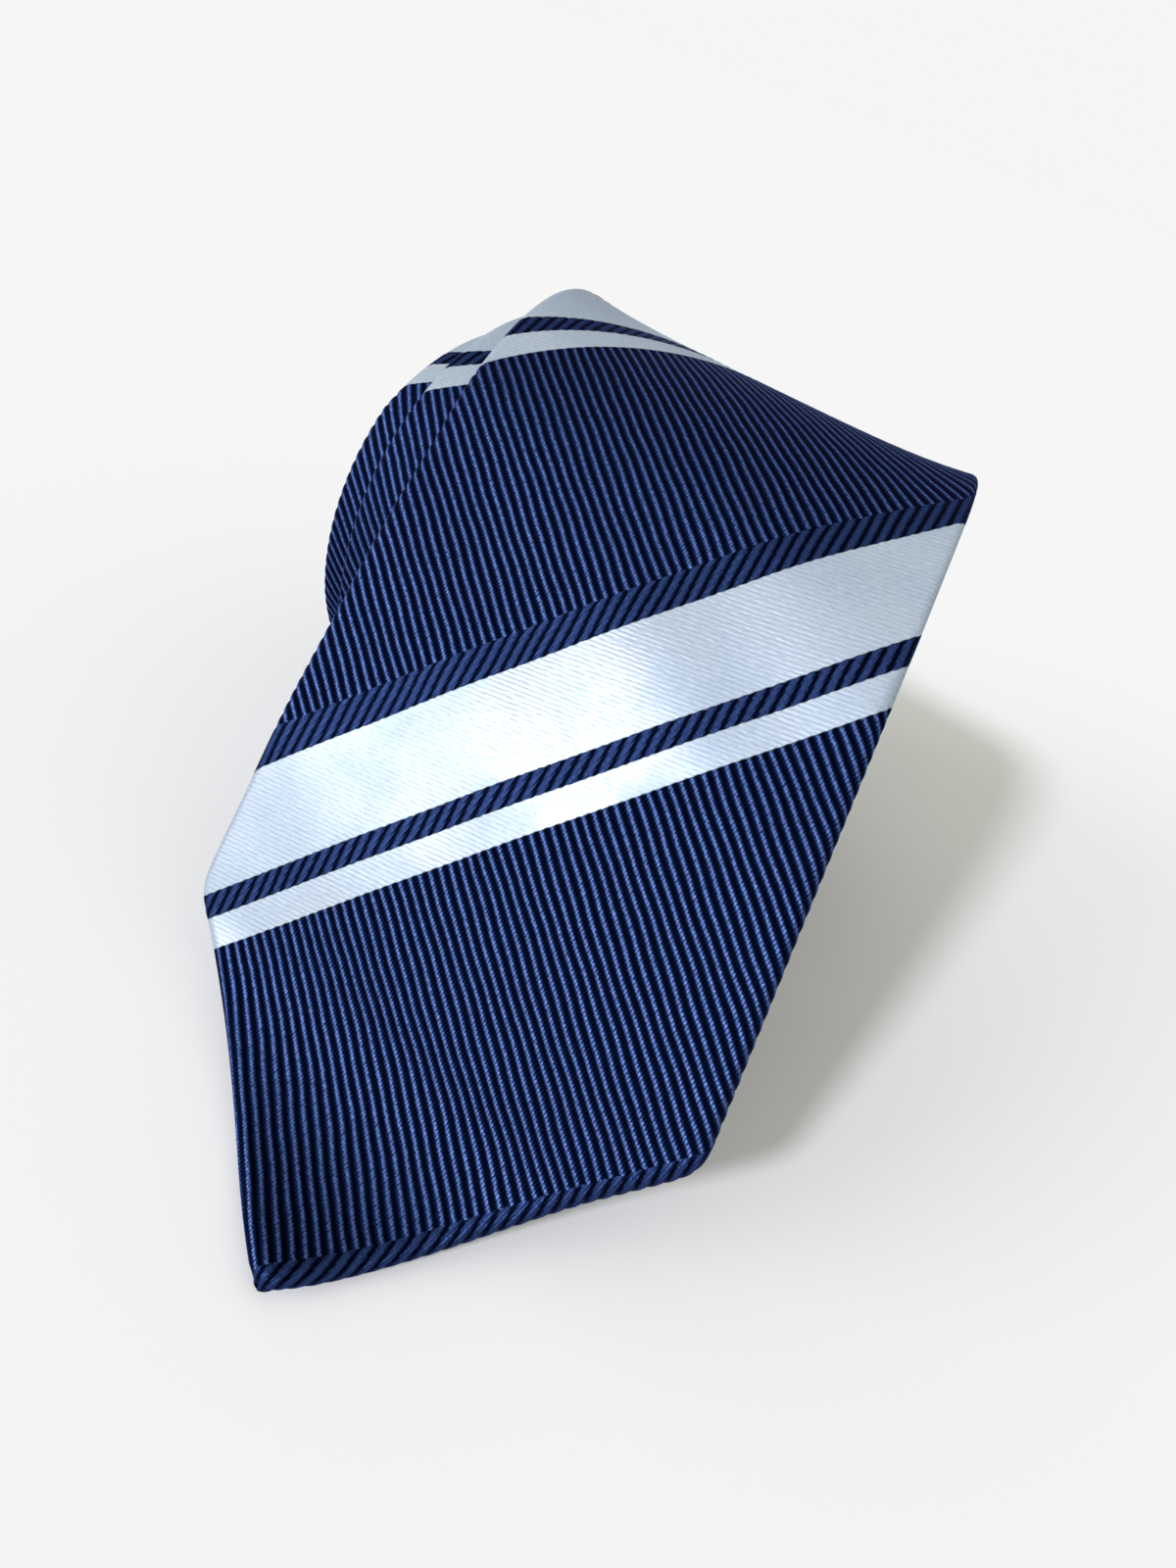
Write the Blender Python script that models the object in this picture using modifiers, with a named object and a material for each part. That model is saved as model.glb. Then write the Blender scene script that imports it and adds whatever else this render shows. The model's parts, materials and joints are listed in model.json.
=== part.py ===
"""A silk necktie, rolled up from its narrow end and stood on its side, with the wide blade brought over
the top of the roll and down to the table in front of it.

The tie is one long flat assembly: outer cloth folded round an interlining, closed along the back by a slip
stitch, and lined behind both points. Every piece is first laid out flat, x across the tie and s along it
from the wide blade's point. It is then bent over the face line, a curve in the YZ plane that the tie's face
follows: v is the distance along that line, u the place along the roll's axis, and n the height above the
face, so that everything under the face has a negative n. Lines of equal v run straight along X.
Metres, +Z up; the roll's axis runs along X and the blade points to -Y.
"""

import math

import bpy
import numpy as np

# The tie laid flat
TIE_LENGTH = 1.48
BLADE_HALF_WIDTH = 0.0400
BLADE_SHOULDER = 0.0377
BLADE_TAPER = 0.037
NECK_HALF_WIDTH = 0.0170
NECK_END = 1.05
TAIL_HALF_WIDTH = 0.0190
TAIL_SHOULDER = 0.0180
FRONT_PIECE_END = 0.66
NECK_PIECE_END = 1.00

# Its layers, and the clearance between them
CLOTH = 0.00045
INTERLINING = 0.0011
TIPPING = 0.0003
GAP = 0.0003
FOLD = 0.0013
SLIT = 0.0006
HEM = 0.012
TAIL_HEM = 0.007
BLADE_OPENING = 0.095
TAIL_OPENING = 0.080
TIPPING_OVERLAP = 0.008
INNER_INSET = 0.0030
BLUNT_POINT = 0.0030

# What is sewn to the back
THREAD_RADIUS = 0.00025
TACK_SIZE = (0.0080, 0.0015, 0.0005)
TRIM_THICKNESS = 0.0003
TRIM_GAP = 0.00035
LOOP_HALF_WIDTH = 0.0220
LABEL_HALF_WIDTH = 0.0250
LOOP_FACETS = (5, 6)
LABEL_FACETS = (11, 13)

# The roll
CREST_RADIUS = 0.0440
TURN_PITCH = 0.0038
FACET = math.radians(18)
BLADE_SKEW = -0.159
ROLL_SKEW = -0.052
SKEW_CHANGES = (0.155, 0.20, 0.64, 0.70)

# The free blade: slopes in radians, the foot is where it bends out on to the table
LEAVING_TURN = 0.775
RUN_END_SLOPE = 0.988
FOOT_LENGTH = 0.0264
POINT_SLOPE = -0.165
POINT_LENGTH = 0.0058
FLOOR_CLEARANCE = 0.0001
HINGE_GAP = 0.0003

BLADE_DEPTH = 2 * CLOTH + 3 * GAP + INTERLINING + TIPPING
ROLL_DEPTH = 2 * CLOTH + 2 * GAP + INTERLINING
SHRINK = TURN_PITCH / (2 * math.pi)
SAMPLE = 0.0005
ROLL_SAMPLES = 2400
BLADE_SAMPLES = 400
CLOSEST_STATION = 0.0008

# The bottom of the roll is pressed flat between these two turns of the spiral
FLAT_START = math.pi - FACET / 2
FLAT_END = math.pi + FACET / 2
AXIS_HEIGHT = (CREST_RADIUS - SHRINK * FLAT_START) * math.cos(FACET / 2)

COLLECTION_NAME = "necktie"


def clear_scene():
    """Remove whatever the file opened with."""
    for obj in list(bpy.data.objects):
        bpy.data.objects.remove(obj, do_unlink=True)


def turned_length(turn, radius=CREST_RADIUS):
    """Distance along a spiral that starts at this radius and loses one pitch a turn."""
    return radius * turn - SHRINK * turn**2 / 2


def last_turn(free_length):
    """Angle at which the tie's mid-thickness has used up its whole length."""
    radius = CREST_RADIUS - ROLL_DEPTH / 2
    rolled = TIE_LENGTH - free_length
    return (radius - math.sqrt(radius**2 - 2 * SHRINK * rolled)) / SHRINK


def spiral(turn):
    """(y, z, slope) of the face line in the roll, counted from the roll's axis; the table flattens it."""
    radius = CREST_RADIUS - SHRINK * turn
    resting = (turn > FLAT_START - 1e-6) & (turn < FLAT_END + 1e-6)
    radius = np.where(resting, AXIS_HEIGHT / np.cos(turn - math.pi), radius)
    slope = -turn - np.arctan(SHRINK / radius)
    return radius * np.sin(turn), AXIS_HEIGHT + radius * np.cos(turn), slope


def arc_drop(length, slope_a, slope_b):
    """Height lost along an arc whose slope goes evenly from slope_a to slope_b."""
    return length * (math.cos(slope_a) - math.cos(slope_b)) / (slope_b - slope_a)


def free_blade_lengths():
    """(straight run, foot, point) lengths; the run is as long as reaching the table needs."""
    _, leaving_height, leaving_slope = spiral(np.array(-LEAVING_TURN))
    bend_to_level = FOOT_LENGTH * RUN_END_SLOPE / (RUN_END_SLOPE - POINT_SLOPE)
    lowest_face = BLADE_DEPTH + FLOOR_CLEARANCE
    drop = float(leaving_height) - lowest_face - arc_drop(bend_to_level, 0.0, RUN_END_SLOPE)
    run = drop / arc_drop(1.0, float(leaving_slope), RUN_END_SLOPE)
    return run, FOOT_LENGTH, POINT_LENGTH


def face_line():
    """Samples (v, y, z, slope) of the face line, from the wide blade's point to the end of the roll."""
    run, foot, point = free_blade_lengths()
    free = run + foot + point
    crest = free - turned_length(-LEAVING_TURN)
    turn = np.linspace(-LEAVING_TURN, last_turn(crest), ROLL_SAMPLES)
    turn = np.union1d(turn, [FLAT_START, FLAT_END])
    roll_y, roll_z, roll_slope = spiral(turn)
    roll_v = crest + turned_length(turn)

    back = np.linspace(0.0, free, BLADE_SAMPLES)
    knots = [0.0, run, run + foot, free]
    slope = np.interp(back, knots, [roll_slope[0], RUN_END_SLOPE, POINT_SLOPE, POINT_SLOPE])
    step = back[1] - back[0]

    def summed(rate):
        return np.concatenate([[0.0], np.cumsum(rate[1:] + rate[:-1]) * step / 2])

    blade_y = roll_y[0] - summed(np.cos(slope))
    blade_z = roll_z[0] - summed(np.sin(slope))
    line = [
        np.concatenate([(free - back)[::-1], roll_v[1:]]),
        np.concatenate([blade_y[::-1], roll_y[1:]]),
        np.concatenate([blade_z[::-1], roll_z[1:]]),
        np.concatenate([slope[::-1], roll_slope[1:]]),
    ]
    return line, crest


LINE, CREST = face_line()
LINE_END = LINE[0][-1]


def centre_line():
    """Samples (s, u, v, skew) of the tie's middle, which drifts along the axis where the tie is skewed."""
    along = np.arange(0.0, LINE_END + 0.05, SAMPLE)
    skew = np.interp(along, SKEW_CHANGES, [BLADE_SKEW, ROLL_SKEW, ROLL_SKEW, 0.0])
    u = np.concatenate([[0.0], np.cumsum(np.sin(skew[:-1])) * SAMPLE])
    v = np.concatenate([[0.0], np.cumsum(np.cos(skew[:-1])) * SAMPLE])
    return along, u, v, skew


CENTRE = centre_line()
FACE_LENGTH = float(np.interp(LINE_END, CENTRE[2], CENTRE[0]))


def on_roll(x, s):
    """Flat place (x, s) as (u, v) on the roll."""
    along, u, v, skew = CENTRE
    lean = np.interp(s, along, skew)
    return np.interp(s, along, u) + x * np.cos(lean), np.interp(s, along, v) - x * np.sin(lean)


def outline(inset):
    """(s, half width) knots of the tie's flat outline, moved in by inset all round."""
    blade_lean = BLADE_HALF_WIDTH / BLADE_SHOULDER
    tail_lean = TAIL_HALF_WIDTH / TAIL_SHOULDER
    point = inset * math.hypot(1.0, blade_lean) / blade_lean
    tail_point = inset * math.hypot(1.0, tail_lean) / tail_lean
    shoulder = point + (BLADE_HALF_WIDTH - inset) / blade_lean
    tail_shoulder = FACE_LENGTH - tail_point - (TAIL_HALF_WIDTH - inset) / tail_lean
    neck_start = BLADE_SHOULDER + (BLADE_HALF_WIDTH - NECK_HALF_WIDTH) / BLADE_TAPER
    knots = [point, shoulder, neck_start, NECK_END, tail_shoulder, FACE_LENGTH - tail_point]
    widths = [inset, BLADE_HALF_WIDTH, NECK_HALF_WIDTH, NECK_HALF_WIDTH, TAIL_HALF_WIDTH, inset]
    return knots, np.array(widths) - inset


def flap_outline():
    """(s, half gap) knots between the two back flaps: a slit but for the two lined openings at the ends."""
    front, front_half = outline(HEM)
    tail, tail_half = outline(TAIL_HEM)
    tail_open = FACE_LENGTH - TAIL_OPENING
    knots = [front[0], front[1], BLADE_OPENING, tail_open, tail[4], tail[5]]
    half = [SLIT, front_half[1], SLIT, SLIT, tail_half[4], SLIT]
    return knots, half


def edge(side, knots):
    """u of one side of an outline for any v; side is -1 for the left and 1 for the right."""
    s = np.arange(0.0, FACE_LENGTH, SAMPLE)
    half = np.interp(s, *knots)
    u, v = on_roll(side * half, s)
    return lambda where: np.interp(where, v, u)


def seam(where):
    """u of the tie's middle, where the back seam runs."""
    return np.interp(where, CENTRE[2], CENTRE[1])


def depth(where):
    """Whole thickness of the tie, which is lined only behind its points."""
    lined = BLADE_OPENING + TIPPING_OVERLAP
    tail_lined = LINE_END - TAIL_OPENING - TIPPING_OVERLAP
    knots = [lined + 0.002, lined + 0.010, tail_lined - 0.010, tail_lined - 0.002]
    return np.interp(where, knots, [BLADE_DEPTH, ROLL_DEPTH, ROLL_DEPTH, BLADE_DEPTH])


def bend(u, where, n):
    """World points of (u, v, n) before the model is centred; every argument is an array of one shape."""
    y, z, slope = (np.interp(where, LINE[0], values) for values in LINE[1:])
    return np.stack([u, y - n * np.sin(slope), z + n * np.cos(slope)], axis=-1)


def facet_place(number):
    """v of the face line's corner number, counted back from the crest."""
    return CREST + turned_length((number - 0.5) * FACET)


def nearest_facet(where):
    """The corner number nearest to a distance v in the roll."""
    last = int(last_turn(CREST) / FACET + 0.5)
    return min(range(1, last), key=lambda number: abs(facet_place(number) - where))


def all_stations():
    """Every v at which sections are taken: facet corners in the roll, even steps down the blade."""
    run, foot, point = free_blade_lengths()
    shoulders = [on_roll(side * BLADE_HALF_WIDTH, BLADE_SHOULDER)[1] for side in (-1, 1)]
    free = np.concatenate([
        np.linspace(0.0, point, 3),
        np.linspace(point, point + foot, 7),
        np.linspace(point + foot, point + foot + run, 9),
    ])
    free = [v for v in free if min(abs(v - shoulder) for shoulder in shoulders) > CLOSEST_STATION]
    wrapped = [facet_place(number) for number in (-1, 0)]
    last = int(last_turn(CREST) / FACET + 0.5)
    rolled = [facet_place(number) for number in range(1, last + 1)]
    return np.unique(np.concatenate([free, shoulders, wrapped, rolled]))


STATIONS = all_stations()
LEFT = edge(-1, outline(0.0))
RIGHT = edge(1, outline(0.0))
FLAP_LEFT = edge(-1, flap_outline())
FLAP_RIGHT = edge(1, flap_outline())
INNER_LEFT = edge(-1, outline(INNER_INSET))
INNER_RIGHT = edge(1, outline(INNER_INSET))


def stations(start, end):
    """The section places from start to end, both included."""
    within = STATIONS[(STATIONS > start + CLOSEST_STATION) & (STATIONS < end - CLOSEST_STATION)]
    return np.concatenate([[start], within, [end]])


def cloth_sections(where):
    """Outside of the folded cloth: back flap, fold, face, fold and back flap, one row for each v."""
    low = -depth(where)
    face = 0 * where
    across = [
        FLAP_LEFT(where), LEFT(where) + FOLD, LEFT(where), LEFT(where) + FOLD,
        RIGHT(where) - FOLD, RIGHT(where), RIGHT(where) - FOLD, FLAP_RIGHT(where),
    ]
    height = [low, low, low / 2, face, face, low / 2, low, low]
    return bend(np.stack(across, 1), np.stack([where] * 8, 1), np.stack(height, 1))


def band_sections(where, left, right, top):
    """A flat band between two edges, its upper side at height top."""
    return bend(np.stack([left, right], 1), np.stack([where] * 2, 1), np.stack([top + 0 * where] * 2, 1))


def centring():
    """Moves the middle of the model's base to the origin; the outer cloth holds every other piece."""
    points = cloth_sections(stations(BLUNT_POINT, LINE_END - BLUNT_POINT)).reshape(-1, 3)
    low = points.min(axis=0)
    high = points.max(axis=0)
    return np.array([-(low[0] + high[0]) / 2, -(low[1] + high[1]) / 2, 0.0])


CENTRING = centring()
CREST_POINT = bend(np.array(0.0), np.array(CREST), np.array(0.0))
HINGE = tuple(np.array([0.0, CREST_POINT[1] + CENTRING[1], CREST_POINT[2]]))


def material(name, colour, roughness, sheen=0.0):
    """A cloth or thread finish."""
    made = bpy.data.materials.new(name)
    made.use_nodes = True
    shader = made.node_tree.nodes["Principled BSDF"]
    shader.inputs["Base Color"].default_value = (*colour, 1.0)
    shader.inputs["Roughness"].default_value = roughness
    shader.inputs["Metallic"].default_value = 0.0
    shader.inputs["Sheen Weight"].default_value = sheen
    made.diffuse_color = (*colour, 1.0)
    return made


def put(name, data, finish, body):
    """An object made from data, under its body's empty, so that its origin is that body's."""
    obj = bpy.data.objects.new(name, data)
    bpy.data.collections[COLLECTION_NAME].objects.link(obj)
    obj.parent = body
    data.materials.append(finish)
    return obj


def strip(name, sections, thickness, finish, body):
    """A sheet through the rows of sections, thickened inward from its outside."""
    rows, across = sections.shape[:2]
    points = sections.reshape(-1, 3) + CENTRING - np.array(body.location)
    corner = np.arange(rows * across).reshape(rows, across)
    quads = np.stack([corner[:-1, :-1], corner[:-1, 1:], corner[1:, 1:], corner[1:, :-1]], axis=-1)
    mesh = bpy.data.meshes.new(name)
    mesh.from_pydata(points.tolist(), [], quads.reshape(-1, 4).tolist())
    mesh.validate()
    mesh.shade_smooth()
    mesh.set_sharp_from_angle(angle=math.radians(35))
    obj = put(name, mesh, finish, body)
    shell = obj.modifiers.new("thickness", "SOLIDIFY")
    shell.thickness = thickness
    shell.offset = -1.0
    shell.use_even_offset = True
    shell.use_quality_normals = True
    return obj


def outer_cloth(name, start, end, finish, body):
    """One length of the outer cloth."""
    return strip(name, cloth_sections(stations(start, end)), CLOTH, finish, body)


def interlining(name, start, end, finish, body):
    """One length of the inner strip, between the face and the flaps."""
    where = stations(start, end)
    sections = band_sections(where, INNER_LEFT(where), INNER_RIGHT(where), -(CLOTH + GAP))
    return strip(name, sections, INTERLINING, finish, body)


def tipping(name, start, end, finish, body):
    """The lining behind a point, between the interlining and the flaps."""
    where = stations(start, end)
    top = -(CLOTH + 2 * GAP + INTERLINING)
    sections = band_sections(where, INNER_LEFT(where), INNER_RIGHT(where), top)
    return strip(name, sections, TIPPING, finish, body)


def back_trim(name, corners, half_width, finish, body):
    """A woven band laid on the back between two facet corners, middled on the seam."""
    where = stations(facet_place(corners[0]), facet_place(corners[1]))
    middle = seam(where)
    top = -(depth(where) + TRIM_GAP)
    sections = band_sections(where, middle - half_width, middle + half_width, top)
    return strip(name, sections, TRIM_THICKNESS, finish, body)


def bar_tack(name, place, finish, body):
    """A dense bar of stitches across the foot of the back seam."""
    width, length, height = TACK_SIZE
    where = np.array([place - length / 2, place + length / 2])
    middle = seam(where)
    top = -(depth(where) + GAP)
    sections = band_sections(where, middle - width / 2, middle + width / 2, top)
    return strip(name, sections, height, finish, body)


def piecing_seam(name, place, finish, body):
    """The line of stitches that joins two lengths of outer cloth, level with the face."""
    where = np.array([place - GAP / 2, place + GAP / 2])
    clear = FOLD + 2 * GAP
    sections = band_sections(where, LEFT(where) + clear, RIGHT(where) - clear, 0.0)
    return strip(name, sections, CLOTH, finish, body)


def slip_stitch(name, start, end, finish, body):
    """The long thread that closes the back, run between the two flaps' edges."""
    where = stations(start, end)
    points = bend(seam(where), where, -(depth(where) - CLOTH / 2)) + CENTRING - np.array(body.location)
    curve = bpy.data.curves.new(name, "CURVE")
    curve.dimensions = "3D"
    curve.bevel_depth = THREAD_RADIUS
    curve.bevel_resolution = 0
    curve.use_fill_caps = True
    spline = curve.splines.new("POLY")
    spline.points.add(len(points) - 1)
    for target, point in zip(spline.points, points):
        target.co = (*point, 1.0)
    return put(name, curve, finish, body)


def body_empty(name, place):
    """The empty that carries one moving body, on its joint's axis."""
    empty = bpy.data.objects.new(name, None)
    empty.location = place
    empty.empty_display_size = 0.02
    bpy.data.collections[COLLECTION_NAME].objects.link(empty)
    return empty


def build():
    """Make every piece of the tie."""
    clear_scene()
    bpy.context.scene.collection.children.link(bpy.data.collections.new(COLLECTION_NAME))
    silk = material("navy_rep_silk", (0.012, 0.028, 0.115), 0.45, sheen=0.3)
    wool = material("interlining_wool", (0.72, 0.69, 0.62), 0.95)
    lining = material("tipping_lining", (0.010, 0.022, 0.075), 0.40)
    thread = material("navy_thread", (0.008, 0.015, 0.055), 0.70)
    woven = material("label_weave", (0.013, 0.025, 0.085), 0.60)

    roll = body_empty("roll", (0.0, 0.0, 0.0))
    blade = body_empty("blade", HINGE)

    blade_end = CREST - HINGE_GAP
    roll_start = CREST + HINGE_GAP
    front_seam = facet_place(nearest_facet(FRONT_PIECE_END))
    tail_seam = facet_place(nearest_facet(NECK_PIECE_END))
    beside_seam = 1.5 * GAP
    blunt = 2 * BLUNT_POINT

    outer_cloth("front_blade", BLUNT_POINT, blade_end, silk, blade)
    outer_cloth("front_blade_rolled", roll_start, front_seam - beside_seam, silk, roll)
    outer_cloth("neck_piece", front_seam + beside_seam, tail_seam - beside_seam, silk, roll)
    outer_cloth("tail_blade", tail_seam + beside_seam, LINE_END - BLUNT_POINT, silk, roll)
    piecing_seam("front_piecing_seam", front_seam, thread, roll)
    piecing_seam("tail_piecing_seam", tail_seam, thread, roll)

    interlining("interlining_blade", blunt + INNER_INSET, blade_end, wool, blade)
    interlining("interlining_roll", roll_start, LINE_END - blunt - INNER_INSET, wool, roll)
    tipping("front_tipping", blunt + INNER_INSET, BLADE_OPENING + TIPPING_OVERLAP, lining, blade)
    tail_lined = LINE_END - TAIL_OPENING - TIPPING_OVERLAP
    tipping("tail_tipping", tail_lined, LINE_END - blunt - INNER_INSET, lining, roll)

    tack_offset = 2 * TACK_SIZE[1]
    slip_stitch("slip_stitch_blade", BLADE_OPENING + tack_offset, blade_end, thread, blade)
    slip_stitch("slip_stitch_roll", roll_start, LINE_END - TAIL_OPENING - tack_offset, thread, roll)
    bar_tack("front_bar_tack", BLADE_OPENING + tack_offset, thread, blade)
    bar_tack("tail_bar_tack", LINE_END - TAIL_OPENING - tack_offset, thread, roll)
    back_trim("keeper_loop", LOOP_FACETS, LOOP_HALF_WIDTH, silk, roll)
    back_trim("blank_label", LABEL_FACETS, LABEL_HALF_WIDTH, woven, roll)


build()
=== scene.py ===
"""The looks of a striped silk necktie, rolled up with its wide blade brought over the roll.

Every piece is laid out flat first: x runs across the tie and s along it from the wide blade's point. The
flat place goes to (u, v, n) on the roll, where v is the distance along the face line, u the place along the
roll's axis and n the height above the face. Metres, +Z up.
"""

import enum
import json
import logging
import math
from dataclasses import dataclass, field
from typing import Callable, Sequence

import bmesh
import bpy
import numpy as np
from mathutils import Matrix, Vector

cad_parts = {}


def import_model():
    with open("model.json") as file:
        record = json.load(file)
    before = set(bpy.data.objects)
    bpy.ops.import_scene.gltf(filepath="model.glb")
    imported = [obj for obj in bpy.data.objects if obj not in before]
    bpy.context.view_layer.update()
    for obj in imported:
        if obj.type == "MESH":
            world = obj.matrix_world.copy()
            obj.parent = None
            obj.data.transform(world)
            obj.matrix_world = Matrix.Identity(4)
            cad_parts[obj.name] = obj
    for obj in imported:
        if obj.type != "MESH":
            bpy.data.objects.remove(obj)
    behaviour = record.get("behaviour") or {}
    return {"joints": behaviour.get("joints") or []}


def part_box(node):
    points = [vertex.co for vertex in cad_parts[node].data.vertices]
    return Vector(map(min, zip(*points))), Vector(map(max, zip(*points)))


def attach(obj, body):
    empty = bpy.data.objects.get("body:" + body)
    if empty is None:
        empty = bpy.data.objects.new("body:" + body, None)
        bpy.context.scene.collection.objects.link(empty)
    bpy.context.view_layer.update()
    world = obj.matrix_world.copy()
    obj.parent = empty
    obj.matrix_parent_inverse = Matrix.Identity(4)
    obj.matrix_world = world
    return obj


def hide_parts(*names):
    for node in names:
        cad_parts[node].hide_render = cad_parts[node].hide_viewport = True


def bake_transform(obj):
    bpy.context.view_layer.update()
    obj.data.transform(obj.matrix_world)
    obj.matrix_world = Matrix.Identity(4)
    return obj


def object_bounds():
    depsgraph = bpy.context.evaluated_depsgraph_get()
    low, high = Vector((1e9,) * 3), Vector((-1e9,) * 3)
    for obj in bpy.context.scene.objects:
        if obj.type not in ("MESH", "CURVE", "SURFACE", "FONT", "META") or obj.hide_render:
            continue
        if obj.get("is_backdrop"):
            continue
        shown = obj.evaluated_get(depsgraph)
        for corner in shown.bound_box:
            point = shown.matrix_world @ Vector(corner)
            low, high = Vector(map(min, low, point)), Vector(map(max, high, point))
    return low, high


LOG = logging.getLogger("necktie")
Array = np.ndarray
Colour = tuple[float, float, float]
Edges = Callable[[Array], tuple[Array, Array]]
CM = 0.01
UV_NAME = "cloth"


class Layer(enum.Enum):
    """Which of the record's finishes a piece takes."""

    FACE = "face_silk"
    CORE = "interlining"
    LINING = "tipping"
    THREAD = "thread"
    LABEL = "label"


class Held(enum.Enum):
    """How a sheet of cloth is held in the tie."""

    FOLDED = "folded"
    LAID = "laid"


# ---------------------------------------------------------------- sizes


@dataclass(frozen=True)
class TieSizes:
    """The tie laid flat and its layers, in metres."""

    length: float = 1.48
    blade_half_width: float = 0.0400
    blade_shoulder: float = 0.0377
    blade_taper: float = 0.037
    neck_half_width: float = 0.0170
    neck_end: float = 1.05
    tail_half_width: float = 0.0190
    tail_shoulder: float = 0.0180
    front_piece_end: float = 0.66
    neck_piece_end: float = 1.00
    cloth: float = 0.00045
    interlining: float = 0.0011
    tipping: float = 0.0003
    gap: float = 0.0003
    slit: float = 0.0006
    hem: float = 0.012
    tail_hem: float = 0.007
    blade_opening: float = 0.095
    tail_opening: float = 0.080
    tipping_overlap: float = 0.008
    inner_inset: float = 0.0030
    tack_offset: float = 0.0030
    keeper_half_width: float = 0.0220
    label_half_width: float = 0.0250

    @property
    def blade_depth(self) -> float:
        """Whole thickness where the tie is lined."""
        return 2 * self.cloth + 3 * self.gap + self.interlining + self.tipping

    @property
    def roll_depth(self) -> float:
        """Whole thickness where it isn't lined."""
        return 2 * self.cloth + 2 * self.gap + self.interlining


@dataclass(frozen=True)
class ThreadSizes:
    """The stitches, in metres: pitches, swings to both sides and thread radii."""

    slip_pitch: float = 0.0060
    slip_swing: float = 0.00055
    slip_radius: float = 0.00016
    tack_width: float = 0.0076
    tack_stitches: int = 12
    tack_swing: float = 0.00072
    tack_rise: float = 0.00022
    tack_radius: float = 0.00017
    join_pitch: float = 0.0022
    join_margin: float = 0.0019
    join_depth: float = 0.00040
    join_rise: float = 0.00012


@dataclass(frozen=True)
class RollSizes:
    """The spiral that the tie is rolled into and the blade that leaves it, in metres and radians.

    Around the crest the edges curl up by curl_height. At the shift_places, counted from the crest, the
    turns lie aside by the shifts.
    """

    crest_radius: float = 0.0440
    pitch: float = 0.0038
    facet: float = math.radians(18)
    blade_skew: float = -0.159
    roll_skew: float = -0.052
    skew_changes: tuple[float, ...] = (0.155, 0.20, 0.64, 0.70)
    leaving_turn: float = 0.775
    run_end_slope: float = 0.988
    foot_length: float = 0.0264
    point_slope: float = -0.165
    point_length: float = 0.0058
    floor_clearance: float = 0.0001
    curl_height: float = 0.0019
    curl_reach: float = 0.017
    curl_half_width: float = 0.036
    shift_places: tuple[float, ...] = (0.14, 0.20, 0.29, 0.35, 0.40, 0.44, 0.474, 0.51, 0.57, 0.63)
    shifts: tuple[float, ...] = (0.0, 0.0022, 0.0022, 0.0, 0.0, -0.0014, -0.0014, 0.0030, 0.0030, 0.0)

    @property
    def shrink(self) -> float:
        """Radius lost for each radian of turn."""
        return self.pitch / (2 * math.pi)

    @property
    def flat_start(self) -> float:
        """The turn at which the roll meets the table."""
        return math.pi - self.facet / 2

    @property
    def axis_height(self) -> float:
        """Height of the roll's axis over the table."""
        return (self.crest_radius - self.shrink * self.flat_start) * math.cos(self.facet / 2)


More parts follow.
